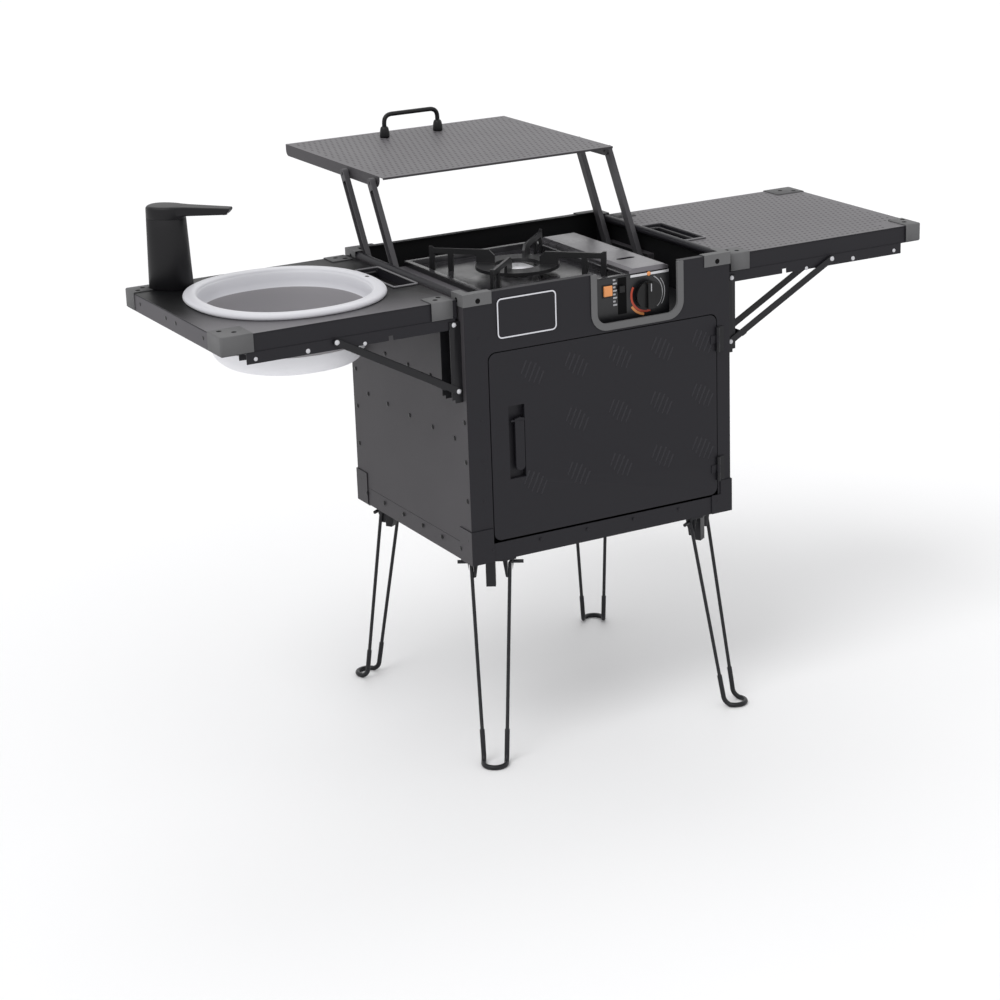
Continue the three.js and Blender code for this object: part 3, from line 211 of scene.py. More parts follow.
def coat(name, rgb, rough, peel=0.12, peel_size=1.4, drift=0.07, metal=0.0,
         stretch=(1, 1, 1), gloss=0.5, cloud=9):
    """A finish with dimples of a peel and a size in millimetres, and a shade that drifts"""
    made = bpy.data.materials.new(name)
    made.use_nodes = True
    tree = made.node_tree
    shader = tree.nodes["Principled BSDF"]
    place = tree.nodes.new("ShaderNodeTexCoord")
    scaled = tree.nodes.new("ShaderNodeMapping")
    scaled.inputs["Scale"].default_value = stretch
    tree.links.new(place.outputs["Object"], scaled.inputs["Vector"])
    clouds = tree.nodes.new("ShaderNodeTexNoise")
    clouds.inputs["Scale"].default_value = cloud
    clouds.inputs["Detail"].default_value = 4
    grain = tree.nodes.new("ShaderNodeTexNoise")
    grain.inputs["Scale"].default_value = 1 / (peel_size * MM)
    grain.inputs["Detail"].default_value = 2
    for noise in (clouds, grain):
        tree.links.new(scaled.outputs["Vector"], noise.inputs["Vector"])
    shades = tree.nodes.new("ShaderNodeMix")
    shades.data_type = "RGBA"
    base = colour(*rgb)
    shades.inputs[6].default_value = [c * (1 - drift) for c in base[:3]] + [1]
    shades.inputs[7].default_value = [min(1, c * (1 + drift)) for c in base[:3]] + [1]
    tree.links.new(clouds.outputs["Fac"], shades.inputs[0])
    tree.links.new(shades.outputs[2], shader.inputs["Base Color"])
    wander = tree.nodes.new("ShaderNodeMapRange")
    wander.inputs["To Min"].default_value = rough - GLOSS_WANDER
    wander.inputs["To Max"].default_value = rough + GLOSS_WANDER
    tree.links.new(clouds.outputs["Fac"], wander.inputs["Value"])
    tree.links.new(wander.outputs["Result"], shader.inputs["Roughness"])
    dimples = tree.nodes.new("ShaderNodeBump")
    dimples.inputs["Strength"].default_value = peel
    dimples.inputs["Distance"].default_value = DIMPLE_DEPTH * MM
    tree.links.new(grain.outputs["Fac"], dimples.inputs["Height"])
    tree.links.new(dimples.outputs["Normal"], shader.inputs["Normal"])
    shader.inputs["Metallic"].default_value = metal
    shader.inputs["Specular IOR Level"].default_value = gloss
    return made


moulded = {"peel": 0.1, "peel_size": 0.8, "drift": 0.015}
paint = {
    "front": coat("front_powder_coat", (28, 27, 32), 0.5, gloss=0.25),
    # The side coat is painted lighter than the front's black, as painted light on the sides
    "side": coat("side_coat_painted_light", (65, 63, 66), 0.55, peel=0.3, gloss=0.25),
    # The left worktop's top is painted paler as light from above, and its fade adds a painted
    # reflection and shadow of the tap
    "shelf": coat("shelf_top_painted_light", (100, 98, 102), 0.45, peel=0.2, gloss=0.25),
    # The shelf ends are painted lighter than the frame's front, as painted light from the side
    "shelf_end": coat("shelf_end_coat_painted_light", (76, 74, 78), 0.5, gloss=0.25),
    # The worktop coat is painted paler than the flanges, as painted light from above
    "worktop": coat("worktop_coat_painted_light", (98, 96, 99), 0.5, peel=0.25, gloss=0.25),
    "worktop_dot": coat("worktop_dot_dark", (44, 43, 46), 0.45, peel=0.15, gloss=0.25),
    "bracket": coat("bracket_black", (24, 24, 27), 0.45, gloss=0.3),
    "link": coat("link_grey_coat", (68, 67, 70), 0.5, gloss=0.3),
    # Inside the box the black is painted darker, as painted shade; the same dark stands for the shade
    # in the basin's hanging hole and the tap's outlet
    "inside": coat("inside_painted_shade", (17, 17, 19), 0.6, gloss=0.2),
    "sunk": coat("sunk_screw_black", (9, 9, 10), 0.7, gloss=0.1),
    # The apron's grey is painted lighter, as painted light in the shade under the lid
    "apron": coat("apron_coat_painted_light", (84, 82, 86), 0.5, gloss=0.25),
    "rail": coat("rail_black", (27, 26, 31), 0.45, gloss=0.25),
    "fitting": coat("handle_black", (18, 18, 20), 0.4, gloss=0.3),
    "leg": coat("leg_black_coat", (24, 24, 28), 0.4, gloss=0.3),
    # The drip pan's strong drift of shade is painted patchy reflections
    "pan": coat("pan_enamel_painted_reflections", (44, 43, 46), 0.22, peel=0.1, drift=0.75, gloss=0.4, cloud=26),
    "cap": coat("corner_cap_plastic", (100, 100, 101), 0.62, peel=0.35, peel_size=0.9, gloss=0.25),
    "screw": coat("screw_black", (22, 22, 23), 0.35, metal=0.4),
    "rivet": coat("rivet_zinc", (196, 196, 200), 0.35, metal=0.25, drift=0.03),
    "badge": coat("badge_satin", (214, 214, 220), 0.45, drift=0.03),
    "steel": coat("cover_brushed_steel", (112, 110, 114), 0.3, metal=0.85, stretch=(1, 14, 1)),
    "bright": coat("burner_steel", (205, 205, 208), 0.35, metal=0.7),
    "enamel": coat("stove_enamel", (19, 19, 22), 0.35, peel=0.08),
    "iron": coat("grate_black_enamel", (20, 20, 22), 0.4, peel=0.3),
    "loop": coat("loop_steel", (44, 43, 46), 0.35, metal=0.3),
    "bead_ring": coat("dish_bead_steel", (112, 111, 114), 0.35, metal=0.5),
    "white": coat("basin_white_plastic", (208, 208, 213), 0.42, **moulded),
    # The cup is painted paler than the lip's white, as painted light on its shaded underside
    "cup_white": coat("basin_cup_painted_light", (230, 230, 234), 0.42, **moulded),
    "grey_band": coat("basin_grey_rubber", (140, 138, 141), 0.6, peel=0.2, peel_size=0.8, drift=0.03),
    "tap": coat("tap_satin_plastic", (11, 10, 14), 0.45, peel=0.1, peel_size=0.7, gloss=0.3),
    "knob": coat("knob_black_plastic", (12, 12, 13), 0.35, peel=0.05, gloss=0.3),
    "orange": coat("orange_plastic", (228, 150, 88), 0.4, drift=0.04),
    "red": coat("red_print", (196, 78, 56), 0.5, drift=0.05),
    # The door beads are painted lighter than the door, as a painted highlight on them
    "bead": coat("door_bead_painted_highlight", (40, 39, 44), 0.45, gloss=0.25),
    "print": coat("pale_print", (170, 170, 173), 0.5, drift=0.05),
}


def fade(finish, rgb, start, stop):
    """Lets a finish pass into a second colour from one place to another"""
    tree = finish.node_tree
    shader = tree.nodes["Principled BSDF"]
    shades = shader.inputs["Base Color"].links[0].from_socket
    way = stop - start
    dot = tree.nodes.new("ShaderNodeVectorMath")
    dot.operation = "DOT_PRODUCT"
    dot.inputs[1].default_value = way / way.length_squared
    place = tree.nodes.new("ShaderNodeTexCoord")
    tree.links.new(place.outputs["Object"], dot.inputs[0])
    ramp = tree.nodes.new("ShaderNodeMapRange")
    ramp.interpolation_type = "SMOOTHSTEP"
    first = start.dot(way) / way.length_squared
    ramp.inputs["From Min"].default_value = first
    ramp.inputs["From Max"].default_value = first + 1
    tree.links.new(dot.outputs["Value"], ramp.inputs["Value"])
    mixed = tree.nodes.new("ShaderNodeMix")
    mixed.data_type = "RGBA"
    mixed.inputs[7].default_value = colour(*rgb)
    tree.links.new(ramp.outputs["Result"], mixed.inputs[0])
    tree.links.new(shades, mixed.inputs[6])
    tree.links.new(mixed.outputs[2], shader.inputs["Base Color"])


# The left worktop is grey at its outer front corner and nearly black from there to the tap, a
# painted reflection and shadow of the tap
fade(paint["shelf"], (6, 6, 8), at(-700, -190, SHELF_TOP), at(-640, 10, SHELF_TOP))
print("finishes", len(paint))

# %% [markdown]
# Folded sheet never has a razor edge: the brake leaves a small radius and the coat rounds it
# further. Each measured solid is copied, its flat faces are merged again, and a narrow bevel
# goes round every fold and cut edge. The copy then stands for the measured part.

# %% Rounded copies of the metal parts
SMOOTH_ANGLE, FOLD_ANGLE, FLAT_ANGLE = 38, 40, 0.6
MERGE = 0.002


def mesh_data(name, mesh, finishes):
    data = bpy.data.meshes.new(name)
    mesh.to_mesh(data)
    mesh.free()
    for finish in finishes:
        data.materials.append(paint[finish])
    return data


def finish_piece(made, body, smooth_angle=SMOOTH_ANGLE):
    bpy.context.scene.collection.objects.link(made)
    made.data.shade_smooth()
    made.data.set_sharp_from_angle(angle=math.radians(smooth_angle))
    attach(made, body)
    return made


def round_edges(made, width, segments=2):
    rounding = made.modifiers.new("rounding", "BEVEL")
    rounding.width = width * MM
    rounding.segments = segments
    rounding.limit_method = "ANGLE"
    rounding.angle_limit = math.radians(FOLD_ANGLE)
    rounding.harden_normals = True
    rounding.use_clamp_overlap = True


def rounded_copy(node, finishes, width, choose=None, segments=2):
    """A copy of a solid with rounded edges; choose picks one of its finishes for each face"""
    mesh = bmesh.new()
    mesh.from_mesh(nodes[node].data)
    bmesh.ops.remove_doubles(mesh, verts=mesh.verts, dist=MERGE * MM)
    bmesh.ops.dissolve_limit(
        mesh, angle_limit=math.radians(FLAT_ANGLE), verts=mesh.verts, edges=mesh.edges
    )
    if choose:
        for face in mesh.faces:
            face.material_index = choose(face.calc_center_median(), face.normal)
    name = node + "_dressed"
    made = bpy.data.objects.new(name, mesh_data(name, mesh, finishes))
    finish_piece(made, nodes[node]["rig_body"])
    round_edges(made, width, segments)
    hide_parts(node)
    return made


# %% [markdown]
# Flat top faces and folded flanges share a coat, but the lid and the right shelf are painted
# paler on top, as painted light from above. The sides of the box and the ends of the shelves are
# also painted lighter than the fronts, as painted light, and the box is painted a darker black
# inside, as painted shade. So a part may have up to three finishes, and the way a face looks
# decides which one it gets.

# %% Which face gets which finish
RAIL_FOLD, END_DEPTH, BADGE_BORDER = 466, 4, 0.2
badge_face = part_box("badge_plate")[0].y


# Top faces take the first finish, which on the lid and shelves is painted paler as light from above
def top_first(centre, normal):
    return 0 if normal.z > 0.9 else 1


def wall_faces(centre, normal):
    """0 outside, 1 on the rolled rim and its fold, 2 inside the box"""
    if centre.z > at(0, 0, RAIL_FOLD).z:
        return 1
    return 2 if centre.x * normal.x < -0.5 * abs(centre.x) else 0


# The tray's left and right faces take the side coat, painted lighter than its front as painted light
def tray_faces(centre, normal):
    """1 on the outer left and right faces"""
    return 1 if centre.x * normal.x > 0 and abs(normal.x) > 0.9 else 0


# A shelf's outer end takes the end coat, painted lighter than the front as painted light
def end_faces(centre, normal):
    """1 on the outer end of a shelf only"""
    return tray_faces(centre, normal) if abs(centre.x) > (SHELF_OUT - END_DEPTH) * MM else 0


# Faces that look into the box take the inside coat, a darker black painted as the shade there
def back_faces(centre, normal):
    return 1 if normal.y < -0.5 else 0


def front_faces(centre, normal):
    return 1 if normal.y > 0.5 else 0


def badge_faces(centre, normal):
    return 0 if centre.y < badge_face + BADGE_BORDER * MM else 1


plain = {
    "notch_trim": ("cap", 0.8), "stove_deck": ("inside", 0.4),
    "door_panel": ("front", 0.8), "door_pull": ("front", 0.8),
    "upper_hinge": ("bracket", 0.3), "lower_hinge": ("bracket", 0.3),
    "stove_body": ("enamel", 0.5), "canister_cover": ("steel", 0.8),
    "canister_lever": ("knob", 0.8), "drip_pan": ("pan", 0.5), "pot_grate": ("iron", 0.8),
}
for node, (name, width) in plain.items():
    rounded_copy(node, [name], width)
for side in SIDES:
    rounded_copy(side + "_side_panel", ["side", "rail", "inside"], 0.6, wall_faces)
    rounded_copy(side + "_shelf_frame", ["front", "shelf_end"], 0.8, end_faces)
    for end in ENDS:
        place = end + "_" + side
        rounded_copy(place + "_top_cap", ["cap"], 1.4, segments=3)
        rounded_copy(place + "_wall_channel", ["bracket"], 0.5)
        rounded_copy(place + "_brace", ["bracket"], 0.5)
        rounded_copy(place + "_release_lever", ["bracket"], 0.8)
        rounded_copy(place + "_lid_link", ["link"], 0.8)
        rounded_copy(place + "_leg_bracket", ["leg"], 1.0)
rounded_copy("base_tray", ["front", "side"], 0.8, tray_faces)
rounded_copy("back_panel", ["front", "inside"], 0.8, back_faces)
rounded_copy("front_fascia", ["front", "inside"], 0.8, front_faces)
rounded_copy("left_shelf_top", ["shelf", "front"], 0.5, top_first)
rounded_copy("right_shelf_top", ["worktop", "front"], 0.5, top_first)
rounded_copy("lid_panel", ["worktop", "side"], 0.7, top_first)
rounded_copy("burner", ["bright"], 0.6)
rounded_copy("stove_knob", ["knob"], 1.0, segments=3)
rounded_copy("badge_plate", ["badge", "front"], 0.4, badge_faces)

# %% [markdown]
# The rest is made from scratch. Round wires and tubes are swept along a line, bowls are stacked
# outlines joined by a skin, and small heads are low domes. Three helpers cover them all.

# %% Sweeps, skins and domes
def new_piece(name, mesh, finishes, body, smooth_angle=SMOOTH_ANGLE):
    """A piece from a mesh in the given finishes, attached to the body it belongs to"""
    bmesh.ops.recalc_face_normals(mesh, faces=mesh.faces)
    made = bpy.data.objects.new(name, mesh_data(name, mesh, finishes))
    return finish_piece(made, body, smooth_angle)


def skin(mesh, rings, looped=False):
    """Joins rings of points one after another, and closes both ends unless it loops"""
    rows = [[mesh.verts.new(p) for p in ring] for ring in rings]
    count = len(rows[0])
    for low, high in list(zip(rows, rows[1:])) + ([(rows[-1], rows[0])] if looped else []):
        for i in range(count):
            j = (i + 1) % count
            mesh.faces.new((low[i], low[j], high[j], high[i]))
    if not looped:
        for row in (rows[0], rows[-1]):
            mesh.faces.new(row)


def sweep(mesh, points, radii, sides=14, looped=False):
    """A round tube along points; radii is one radius or one for each point, in millimetres"""
    if not isinstance(radii, (list, tuple)):
        radii = [radii] * len(points)
    rings = []
    side_way = None
    count = len(points)
    for i, point in enumerate(points):
        after = points[(i + 1) % count] if looped or i < count - 1 else point
        before = points[i - 1] if looped or i > 0 else point
        along = (after - before).normalized()
        if side_way is None:
            side_way = along.orthogonal().normalized()
        side_way = (side_way - along * side_way.dot(along)).normalized()
        other_way = along.cross(side_way)
        ring = []
        for k in range(sides):
            a = 2 * math.pi * k / sides
            ring.append(point + radii[i] * MM * (math.cos(a) * side_way + math.sin(a) * other_way))
        rings.append(ring)
    skin(mesh, rings, looped)


def bend(before, corner, after, radius, steps=6):
    """Points of a rounded corner between two straight runs"""
    way_in, way_out = (before - corner).normalized(), (after - corner).normalized()
    half_angle = way_in.angle(way_out) / 2
    run = radius * MM / math.tan(half_angle)
    start, stop = corner + way_in * run, corner + way_out * run
    points = []
    for i in range(steps + 1):
        t = i / steps
        points.append((1 - t) ** 2 * start + 2 * t * (1 - t) * corner + t * t * stop)
    return points


def dome(mesh, centre, normal, radius, height, sides=12, rows=3, sunk=0.2):
    """A low rounded head, its foot sunk a little into what it sits on"""
    turn = Vector(normal).to_track_quat("Z", "Y")
    rings = []
    for i in range(-1, rows + 1):
        a = math.pi / 2 * max(i, 0) / (rows + 0.35)
        r, h = radius * math.cos(a), height * math.sin(a) if i >= 0 else -sunk
        ring = []
        for k in range(sides):
            b = 2 * math.pi * k / sides
            ring.append(centre + turn @ (MM * Vector((r * math.cos(b), r * math.sin(b), h))))
        rings.append(ring)
    skin(mesh, rings)


def box_between(mesh, low, high):
    (x0, y0, z0), (x1, y1, z1) = low, high
    skin(mesh, [
        [at(x0, y0, z), at(x1, y0, z), at(x1, y1, z), at(x0, y1, z)] for z in (z0, z1)
    ])


def squarish(step, steps, power):
    """One point of an outline between a circle, at power 1, and a square, at power 0"""
    turn = 2 * math.pi * step / steps
    return [math.copysign(abs(c) ** power, c) for c in (math.cos(turn), math.sin(turn))]


# %% [markdown]
# The wash basin is one soft moulding: a stiff white lip on the shelf, a wall with a grey rubber
# band that folds, and a stiff white cup below. The wall is drawn bent between shelf and cup. The
# outline is a squarish oval in 96 steps, and each profile gives how far in from the mouth's edge
# it is, and how high.

# %% Wash basin
BASIN_X, BASIN_Y = -497, 0
MOUTH_X, MOUTH_Y, SQUARENESS = 147, 154, 2.2
BASIN_STEPS = 96
BAND_TOP = 454
HOLE_X, HOLE_Y, HOLE_Z, HOLE_RADIUS = -338.5, -3.5, 486.7, 5.2


def basin_ring(inset, z):
    ring = []
    for i in range(BASIN_STEPS):
        x, y = squarish(i, BASIN_STEPS, 2 / SQUARENESS)
        ring.append(at(BASIN_X + (MOUTH_X - inset) * x, BASIN_Y + (MOUTH_Y - inset) * y, z))
    return ring


def wall_thickness(z):
    """Full lower down, and thin at the top, where the wall hides behind the lip"""
    return min(2.4, 0.1 + 0.2 * (483 - z))


lip_profile = [
    (0, 476.4), (-20, 476.4), (-22.6, 476.9), (-23.8, 478.4), (-24, 480.4), (-23.2, 483),
    (-21.4, 484.9), (-18.5, 486.2), (-14.5, 486.9), (-9, 486.9), (-4.5, 486.4), (-1.8, 485.2),
    (-0.5, 483.2), (0, 480),
]
mesh = bmesh.new()
skin(mesh, [basin_ring(*p) for p in lip_profile], looped=True)
lip = new_piece("basin_lip", mesh, ["white"], "left_shelf")
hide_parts("basin_rim")

wall_profile = [
    (-0.6, 482.4), (0.2, 478.8), (0.5, 474), (0.8, 466), (1.6, 456.5), (3.4, 454.4), (4.4, 452),
    (6.6, 440), (8.6, 428), (11, 415), (14, 401.2),
]
inner = [(inset + wall_thickness(z), z) for inset, z in wall_profile]
mesh = bmesh.new()
skin(mesh, [basin_ring(*p) for p in wall_profile + inner[::-1]], looped=True)
for face in mesh.faces:
    face.material_index = 0 if face.calc_center_median().z > at(0, 0, BAND_TOP).z else 1
bmesh.ops.recalc_face_normals(mesh, faces=mesh.faces)
wall_data = mesh_data("basin_folding_wall", mesh, ["white", "grey_band"])
wall = bpy.data.objects.new("basin_folding_wall", wall_data)
bpy.context.scene.collection.objects.link(wall)
wall_data.shade_smooth()
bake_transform(wall)
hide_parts("basin_wall")

# From the middle of the underside up the outside, over the top edge and down to the floor
cup_profile = [
    (60, 364.7), (34, 365.1), (29, 366.8), (24.5, 370.6), (20.6, 376.5), (17.6, 384),
    (15.4, 392), (14, 400.7), (17, 400.7), (18.4, 392.6), (20.6, 385.4), (23.6, 378.4),
    (27.6, 373), (32.2, 369.6), (37.4, 368.2), (64, 367.9),
]
# The cup's white is painted paler than the lip's, as painted light beneath the shelf
mesh = bmesh.new()
skin(mesh, [basin_ring(*p) for p in cup_profile])
cup = new_piece("basin_cup_shell", mesh, ["cup_white"], "basin_cup", 50)
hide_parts("basin_cup")

# The hole in the lip from which the folded basin hangs to dry, drawn as a black disc of painted shade
mesh = bmesh.new()
dome(mesh, at(HOLE_X, HOLE_Y, HOLE_Z), (0.1, 0, 1), HOLE_RADIUS, 0.4, 20)
new_piece("basin_hole_painted_shade", mesh, ["inside"], "left_shelf")
print("basin outline steps", BASIN_STEPS)

# %% [markdown]
# The tap is a moulded column that leans in at the back, with a flat spout from its head. The
# head's upper edge is rolled over in a few small rings, and the spout is a tapered beam whose
# edges are bevelled more than the metal's.

# %% Tap column
TAP_X, TAP_Y, TAP_TURN = -642.5, 170.2, math.radians(-44)
TAP_LONG, TAP_WIDE, TAP_HIGH, TAP_FOOT = 80, 56, 148, 476.3
TAP_TOP = TAP_FOOT + TAP_HIGH
TAP_SEAM = TAP_TOP - 22
TAP_LEAN, TAP_ROUND, TAP_STEPS = 5, 0.86, 64
FRONT_TAPER, BACK_TAPER, SIDE_TAPER = 1, 10, 2
OUTLET_ALONG, OUTLET_RADIUS = 113, 5
tap_turn = Matrix.Rotation(TAP_TURN, 3, "Z")


def tap_place(along, across, z):
    flat = tap_turn @ Vector((along, across, 0))
    lean = TAP_LEAN * (1 - (z - TAP_FOOT) / TAP_HIGH)
    return at(TAP_X + flat.x + lean, TAP_Y + flat.y, z)


def tap_ring(z, shrink=0.0):
    rise = (z - TAP_FOOT) / TAP_HIGH
    ring = []
    for i in range(TAP_STEPS):
        x, y = squarish(i, TAP_STEPS, TAP_ROUND)
        long_half = TAP_LONG / 2 - (FRONT_TAPER if x > 0 else BACK_TAPER) * rise - shrink
        wide_half = TAP_WIDE / 2 - SIDE_TAPER * rise - shrink
        ring.append(tap_place(long_half * x, wide_half * y, z))
    return ring


def tap_shell(name, heights):
    mesh = bmesh.new()
    skin(mesh, [tap_ring(*p) for p in heights])
    return new_piece(name, mesh, ["tap"], "left_shelf", 45)


# Each row is a height and how far the outline is drawn in there
column = tap_shell("tap_column_shell", [
    (TAP_FOOT, 0.8), (TAP_FOOT + 1.2, 0), (TAP_SEAM - 0.8, 0), (TAP_SEAM - 0.3, 0.4),
])
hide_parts("tap_column")
head = tap_shell("tap_head_shell", [
    (TAP_SEAM, 0.3), (TAP_SEAM + 0.4, 0), (TAP_TOP - 5, 0), (TAP_TOP - 2.6, 0.6),
    (TAP_TOP - 1, 1.9), (TAP_TOP - 0.2, 3.6), (TAP_TOP, 6),
])
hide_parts("tap_head")

# Each station of the spout: along it, its underside and top below the head's top, half width
stations = [
    (-8, 19, 0.3, 21), (24, 18.6, 0.3, 20), (44, 16.6, 0.4, 15), (118.5, 13.4, 1.6, 10.8),
    (125.5, 6, 1.8, 10.4),
]
mesh = bmesh.new()
rings = []
for along, deep, below, wide in stations:
    low, high = TAP_TOP - deep, TAP_TOP - below
    corners = ((-wide, low), (wide, low), (wide, high), (-wide, high))
    rings.append([tap_place(along, across, z) for across, z in corners])
skin(mesh, rings)
spout = new_piece("tap_spout", mesh, ["tap"], "left_shelf", 30)
round_edges(spout, 2.2, 3)
# The outlet is a black plug, painted shade for the opening
mesh = bmesh.new()
outlet = [tap_place(OUTLET_ALONG, 0, TAP_TOP - deep) for deep in (14.6, 10.5)]
sweep(mesh, outlet, OUTLET_RADIUS, 20)
new_piece("tap_outlet", mesh, ["inside"], "left_shelf")
print("tap top", TAP_TOP)

# %% [markdown]
# Each hairpin leg is one wire with its foot dipped in rubber. The wire turns in from two pins,
# runs down, bends forward on the ground and closes in a half circle. One half is worked out as
# a line and the other half is its mirror image.

# %% Hairpin legs
LEG_PIVOT_X, LEG_PIVOT_Y, LEG_BELOW = 219, 196, 10.5
LEG_OUT_X, LEG_OUT_Y, GROUND = 51, 82, -372
WIRE, DIPPED = 3.25, 4.5
LEG_TOP, LEG_LOW, LEG_PIN, LEG_TOE, KNEE_LIFT = 34.5, 20.5, 58.5, 32, 5
PIN_BEND, KNEE_BEND = 5, 19
CUFF, CUFF_STEP = 52, 1.5
leg_turn = math.degrees(math.atan2(LEG_OUT_X, LEG_OUT_Y))
leg_reach = math.hypot(LEG_OUT_X, LEG_OUT_Y) - DIPPED
leg_ground = DIPPED + LEG_BELOW + GROUND


def leg_line(turn, spot):
    """The points of a leg's wire and the radius at each, for a leg pinned at a spot"""
    spin = Matrix.Rotation(math.radians(turn), 3, "Z")

    def place(x, y, z):
        v = spin @ Vector((x, y, z))
        return at(spot[0] + v.x, spot[1] + v.y, spot[2] + v.z)

    def mirrored(point):
        v = spin.inverted() @ ((point - cabinet_middle) / MM - Vector(spot))
        return place(-v.x, v.y, v.z)

    pin, top = place(LEG_PIN, 0, 0), place(LEG_TOP, 0, 0)
    knee = place(LEG_LOW, leg_reach - LEG_TOE, leg_ground + KNEE_LIFT)
    at_toe = place(LEG_LOW, leg_reach - LEG_LOW, leg_ground)
    upward = (top - knee).normalized()
    cuff = knee + upward * CUFF * MM
    half = [pin] + bend(pin, top, knee, PIN_BEND) + [cuff + upward * CUFF_STEP * MM]
    wire_points = len(half)
    half += [cuff] + bend(top, knee, at_toe, KNEE_BEND, 8)
    for i in range(9):
        a = math.pi / 2 * i / 8
        y = leg_reach - LEG_LOW + LEG_LOW * math.sin(a)
        half.append(place(LEG_LOW * math.cos(a), y, leg_ground))
    line = half + [mirrored(p) for p in half[-2::-1]]
    wire_ends = (wire_points, len(line) - wire_points)
    return line, [DIPPED if wire_ends[0] <= i < wire_ends[1] else WIRE for i in range(len(line))]


for end, e in ENDS.items():
    for side, s in SIDES.items():
        node = end + "_" + side + "_leg"
        turn = -s * leg_turn if e > 0 else 180 + s * leg_turn
        line, radii = leg_line(turn, (s * LEG_PIVOT_X, e * LEG_PIVOT_Y, -LEG_BELOW))
        mesh = bmesh.new()
        sweep(mesh, line, radii, 16)
        leg = new_piece(node + "_wire", mesh, ["leg"], nodes[node]["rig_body"], 50)
        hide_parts(node)
print("leg reach", round(leg_reach, 2))

# %% [markdown]
# The lid's handle is a bent rod in two rubber boots, and each shelf has a thinner wire loop that
# lies in a dish with a rolled edge.

# %% Handle and carrying loops
HANDLE_Y, HANDLE_HALF, LID_TOP = 476, 58, 629
ROD_FOOT, ROD_TOP, ROD_BEND, ROD = 0.6, 44.3, 17, 4.4
BOOT_FOOT = 0.3
BOOT = [(8.4, 0), (9.4, 1.2), (9.6, 4), (9.2, 11), (8.2, 17), (6.8, 20.4), (5, 21.4)]
LOOP_X, LOOP_REACH, LOOP_ARM, LOOP_END, LOOP_Y, LOOP_Z = 285, 311.5, 70, 74.5, 6, 471
LOOP_TIP, LOOP_CORNER, LOOP_WIRE = 2.4, 9, 2.5
DISH_CORNERS = ((318, 80, 0), (280, 80, 90), (280, -68, 180), (318, -68, 270))
DISH_Z, DISH_ROUND, DISH_BEAD = 477.6, 4, 2.1

knots = [at(x, HANDLE_Y, LID_TOP + z) for x, z in (
    (-HANDLE_HALF, ROD_FOOT), (-HANDLE_HALF, ROD_TOP), (HANDLE_HALF, ROD_TOP), (HANDLE_HALF, ROD_FOOT))]
mesh = bmesh.new()
line = [knots[0]] + bend(*knots[:3], ROD_BEND, 8) + bend(*knots[1:], ROD_BEND, 8) + [knots[3]]
sweep(mesh, line, ROD, 18)
for x in (-HANDLE_HALF, HANDLE_HALF):
    boot = [at(x, HANDLE_Y, LID_TOP + BOOT_FOOT + z) for _, z in BOOT]
    sweep(mesh, boot, [radius for radius, _ in BOOT], 24)
handle = new_piece("lid_grip", mesh, ["fitting"], "lid", 50)
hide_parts("lid_handle")

for side, s in SIDES.items():
    mesh = bmesh.new()
    knots = [at(s * x, LOOP_Y + y, LOOP_Z) for x, y in (
        (LOOP_X, -LOOP_END), (LOOP_X, -LOOP_ARM), (LOOP_REACH, -LOOP_ARM),
        (LOOP_REACH, LOOP_ARM), (LOOP_X, LOOP_ARM), (LOOP_X, LOOP_END))]
    line = [knots[0]]
    for i, radius in ((1, LOOP_TIP), (2, LOOP_CORNER), (3, LOOP_CORNER), (4, LOOP_TIP)):
        line += bend(knots[i - 1], knots[i], knots[i + 1], radius, 5)
    sweep(mesh, line + [knots[5]], LOOP_WIRE, 12)
    node = side + "_carry_loop"
    made = new_piece(node + "_wire", mesh, ["loop"], nodes[node]["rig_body"], 50)
    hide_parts(node)
    mesh = bmesh.new()
    ring = []
    for x, y, start in DISH_CORNERS:
        for i in range(6):
            t = math.radians(start + 18 * i)
            ring.append(at(s * (x + DISH_ROUND * math.cos(t)), y + DISH_ROUND * math.sin(t), DISH_Z))
    sweep(mesh, ring, DISH_BEAD, 10, looped=True)
    new_piece(side + "_dish_bead", mesh, ["bead_ring"], side + "_shelf", 50)
print("loops and handle made")

# %% [markdown]
# Grey moulded caps guard the corners of both shelves, each held by two sunk screws. A cap is an
# open corner of a box, rounded and then thickened inwards, so that it reads as a thin moulding.

# %% Corner caps of the shelves
CAP_LOW, CAP_PROUD, CAP_BACK = 446, 1.8, 9
CAP_CORNER, CAP_EDGE = 5, 2.2
CAP_SCREWS, CAP_SCREW, CAP_SCREW_HIGH = ((0.28, 0.78), (0.6, 0.44)), 4.6, 0.6
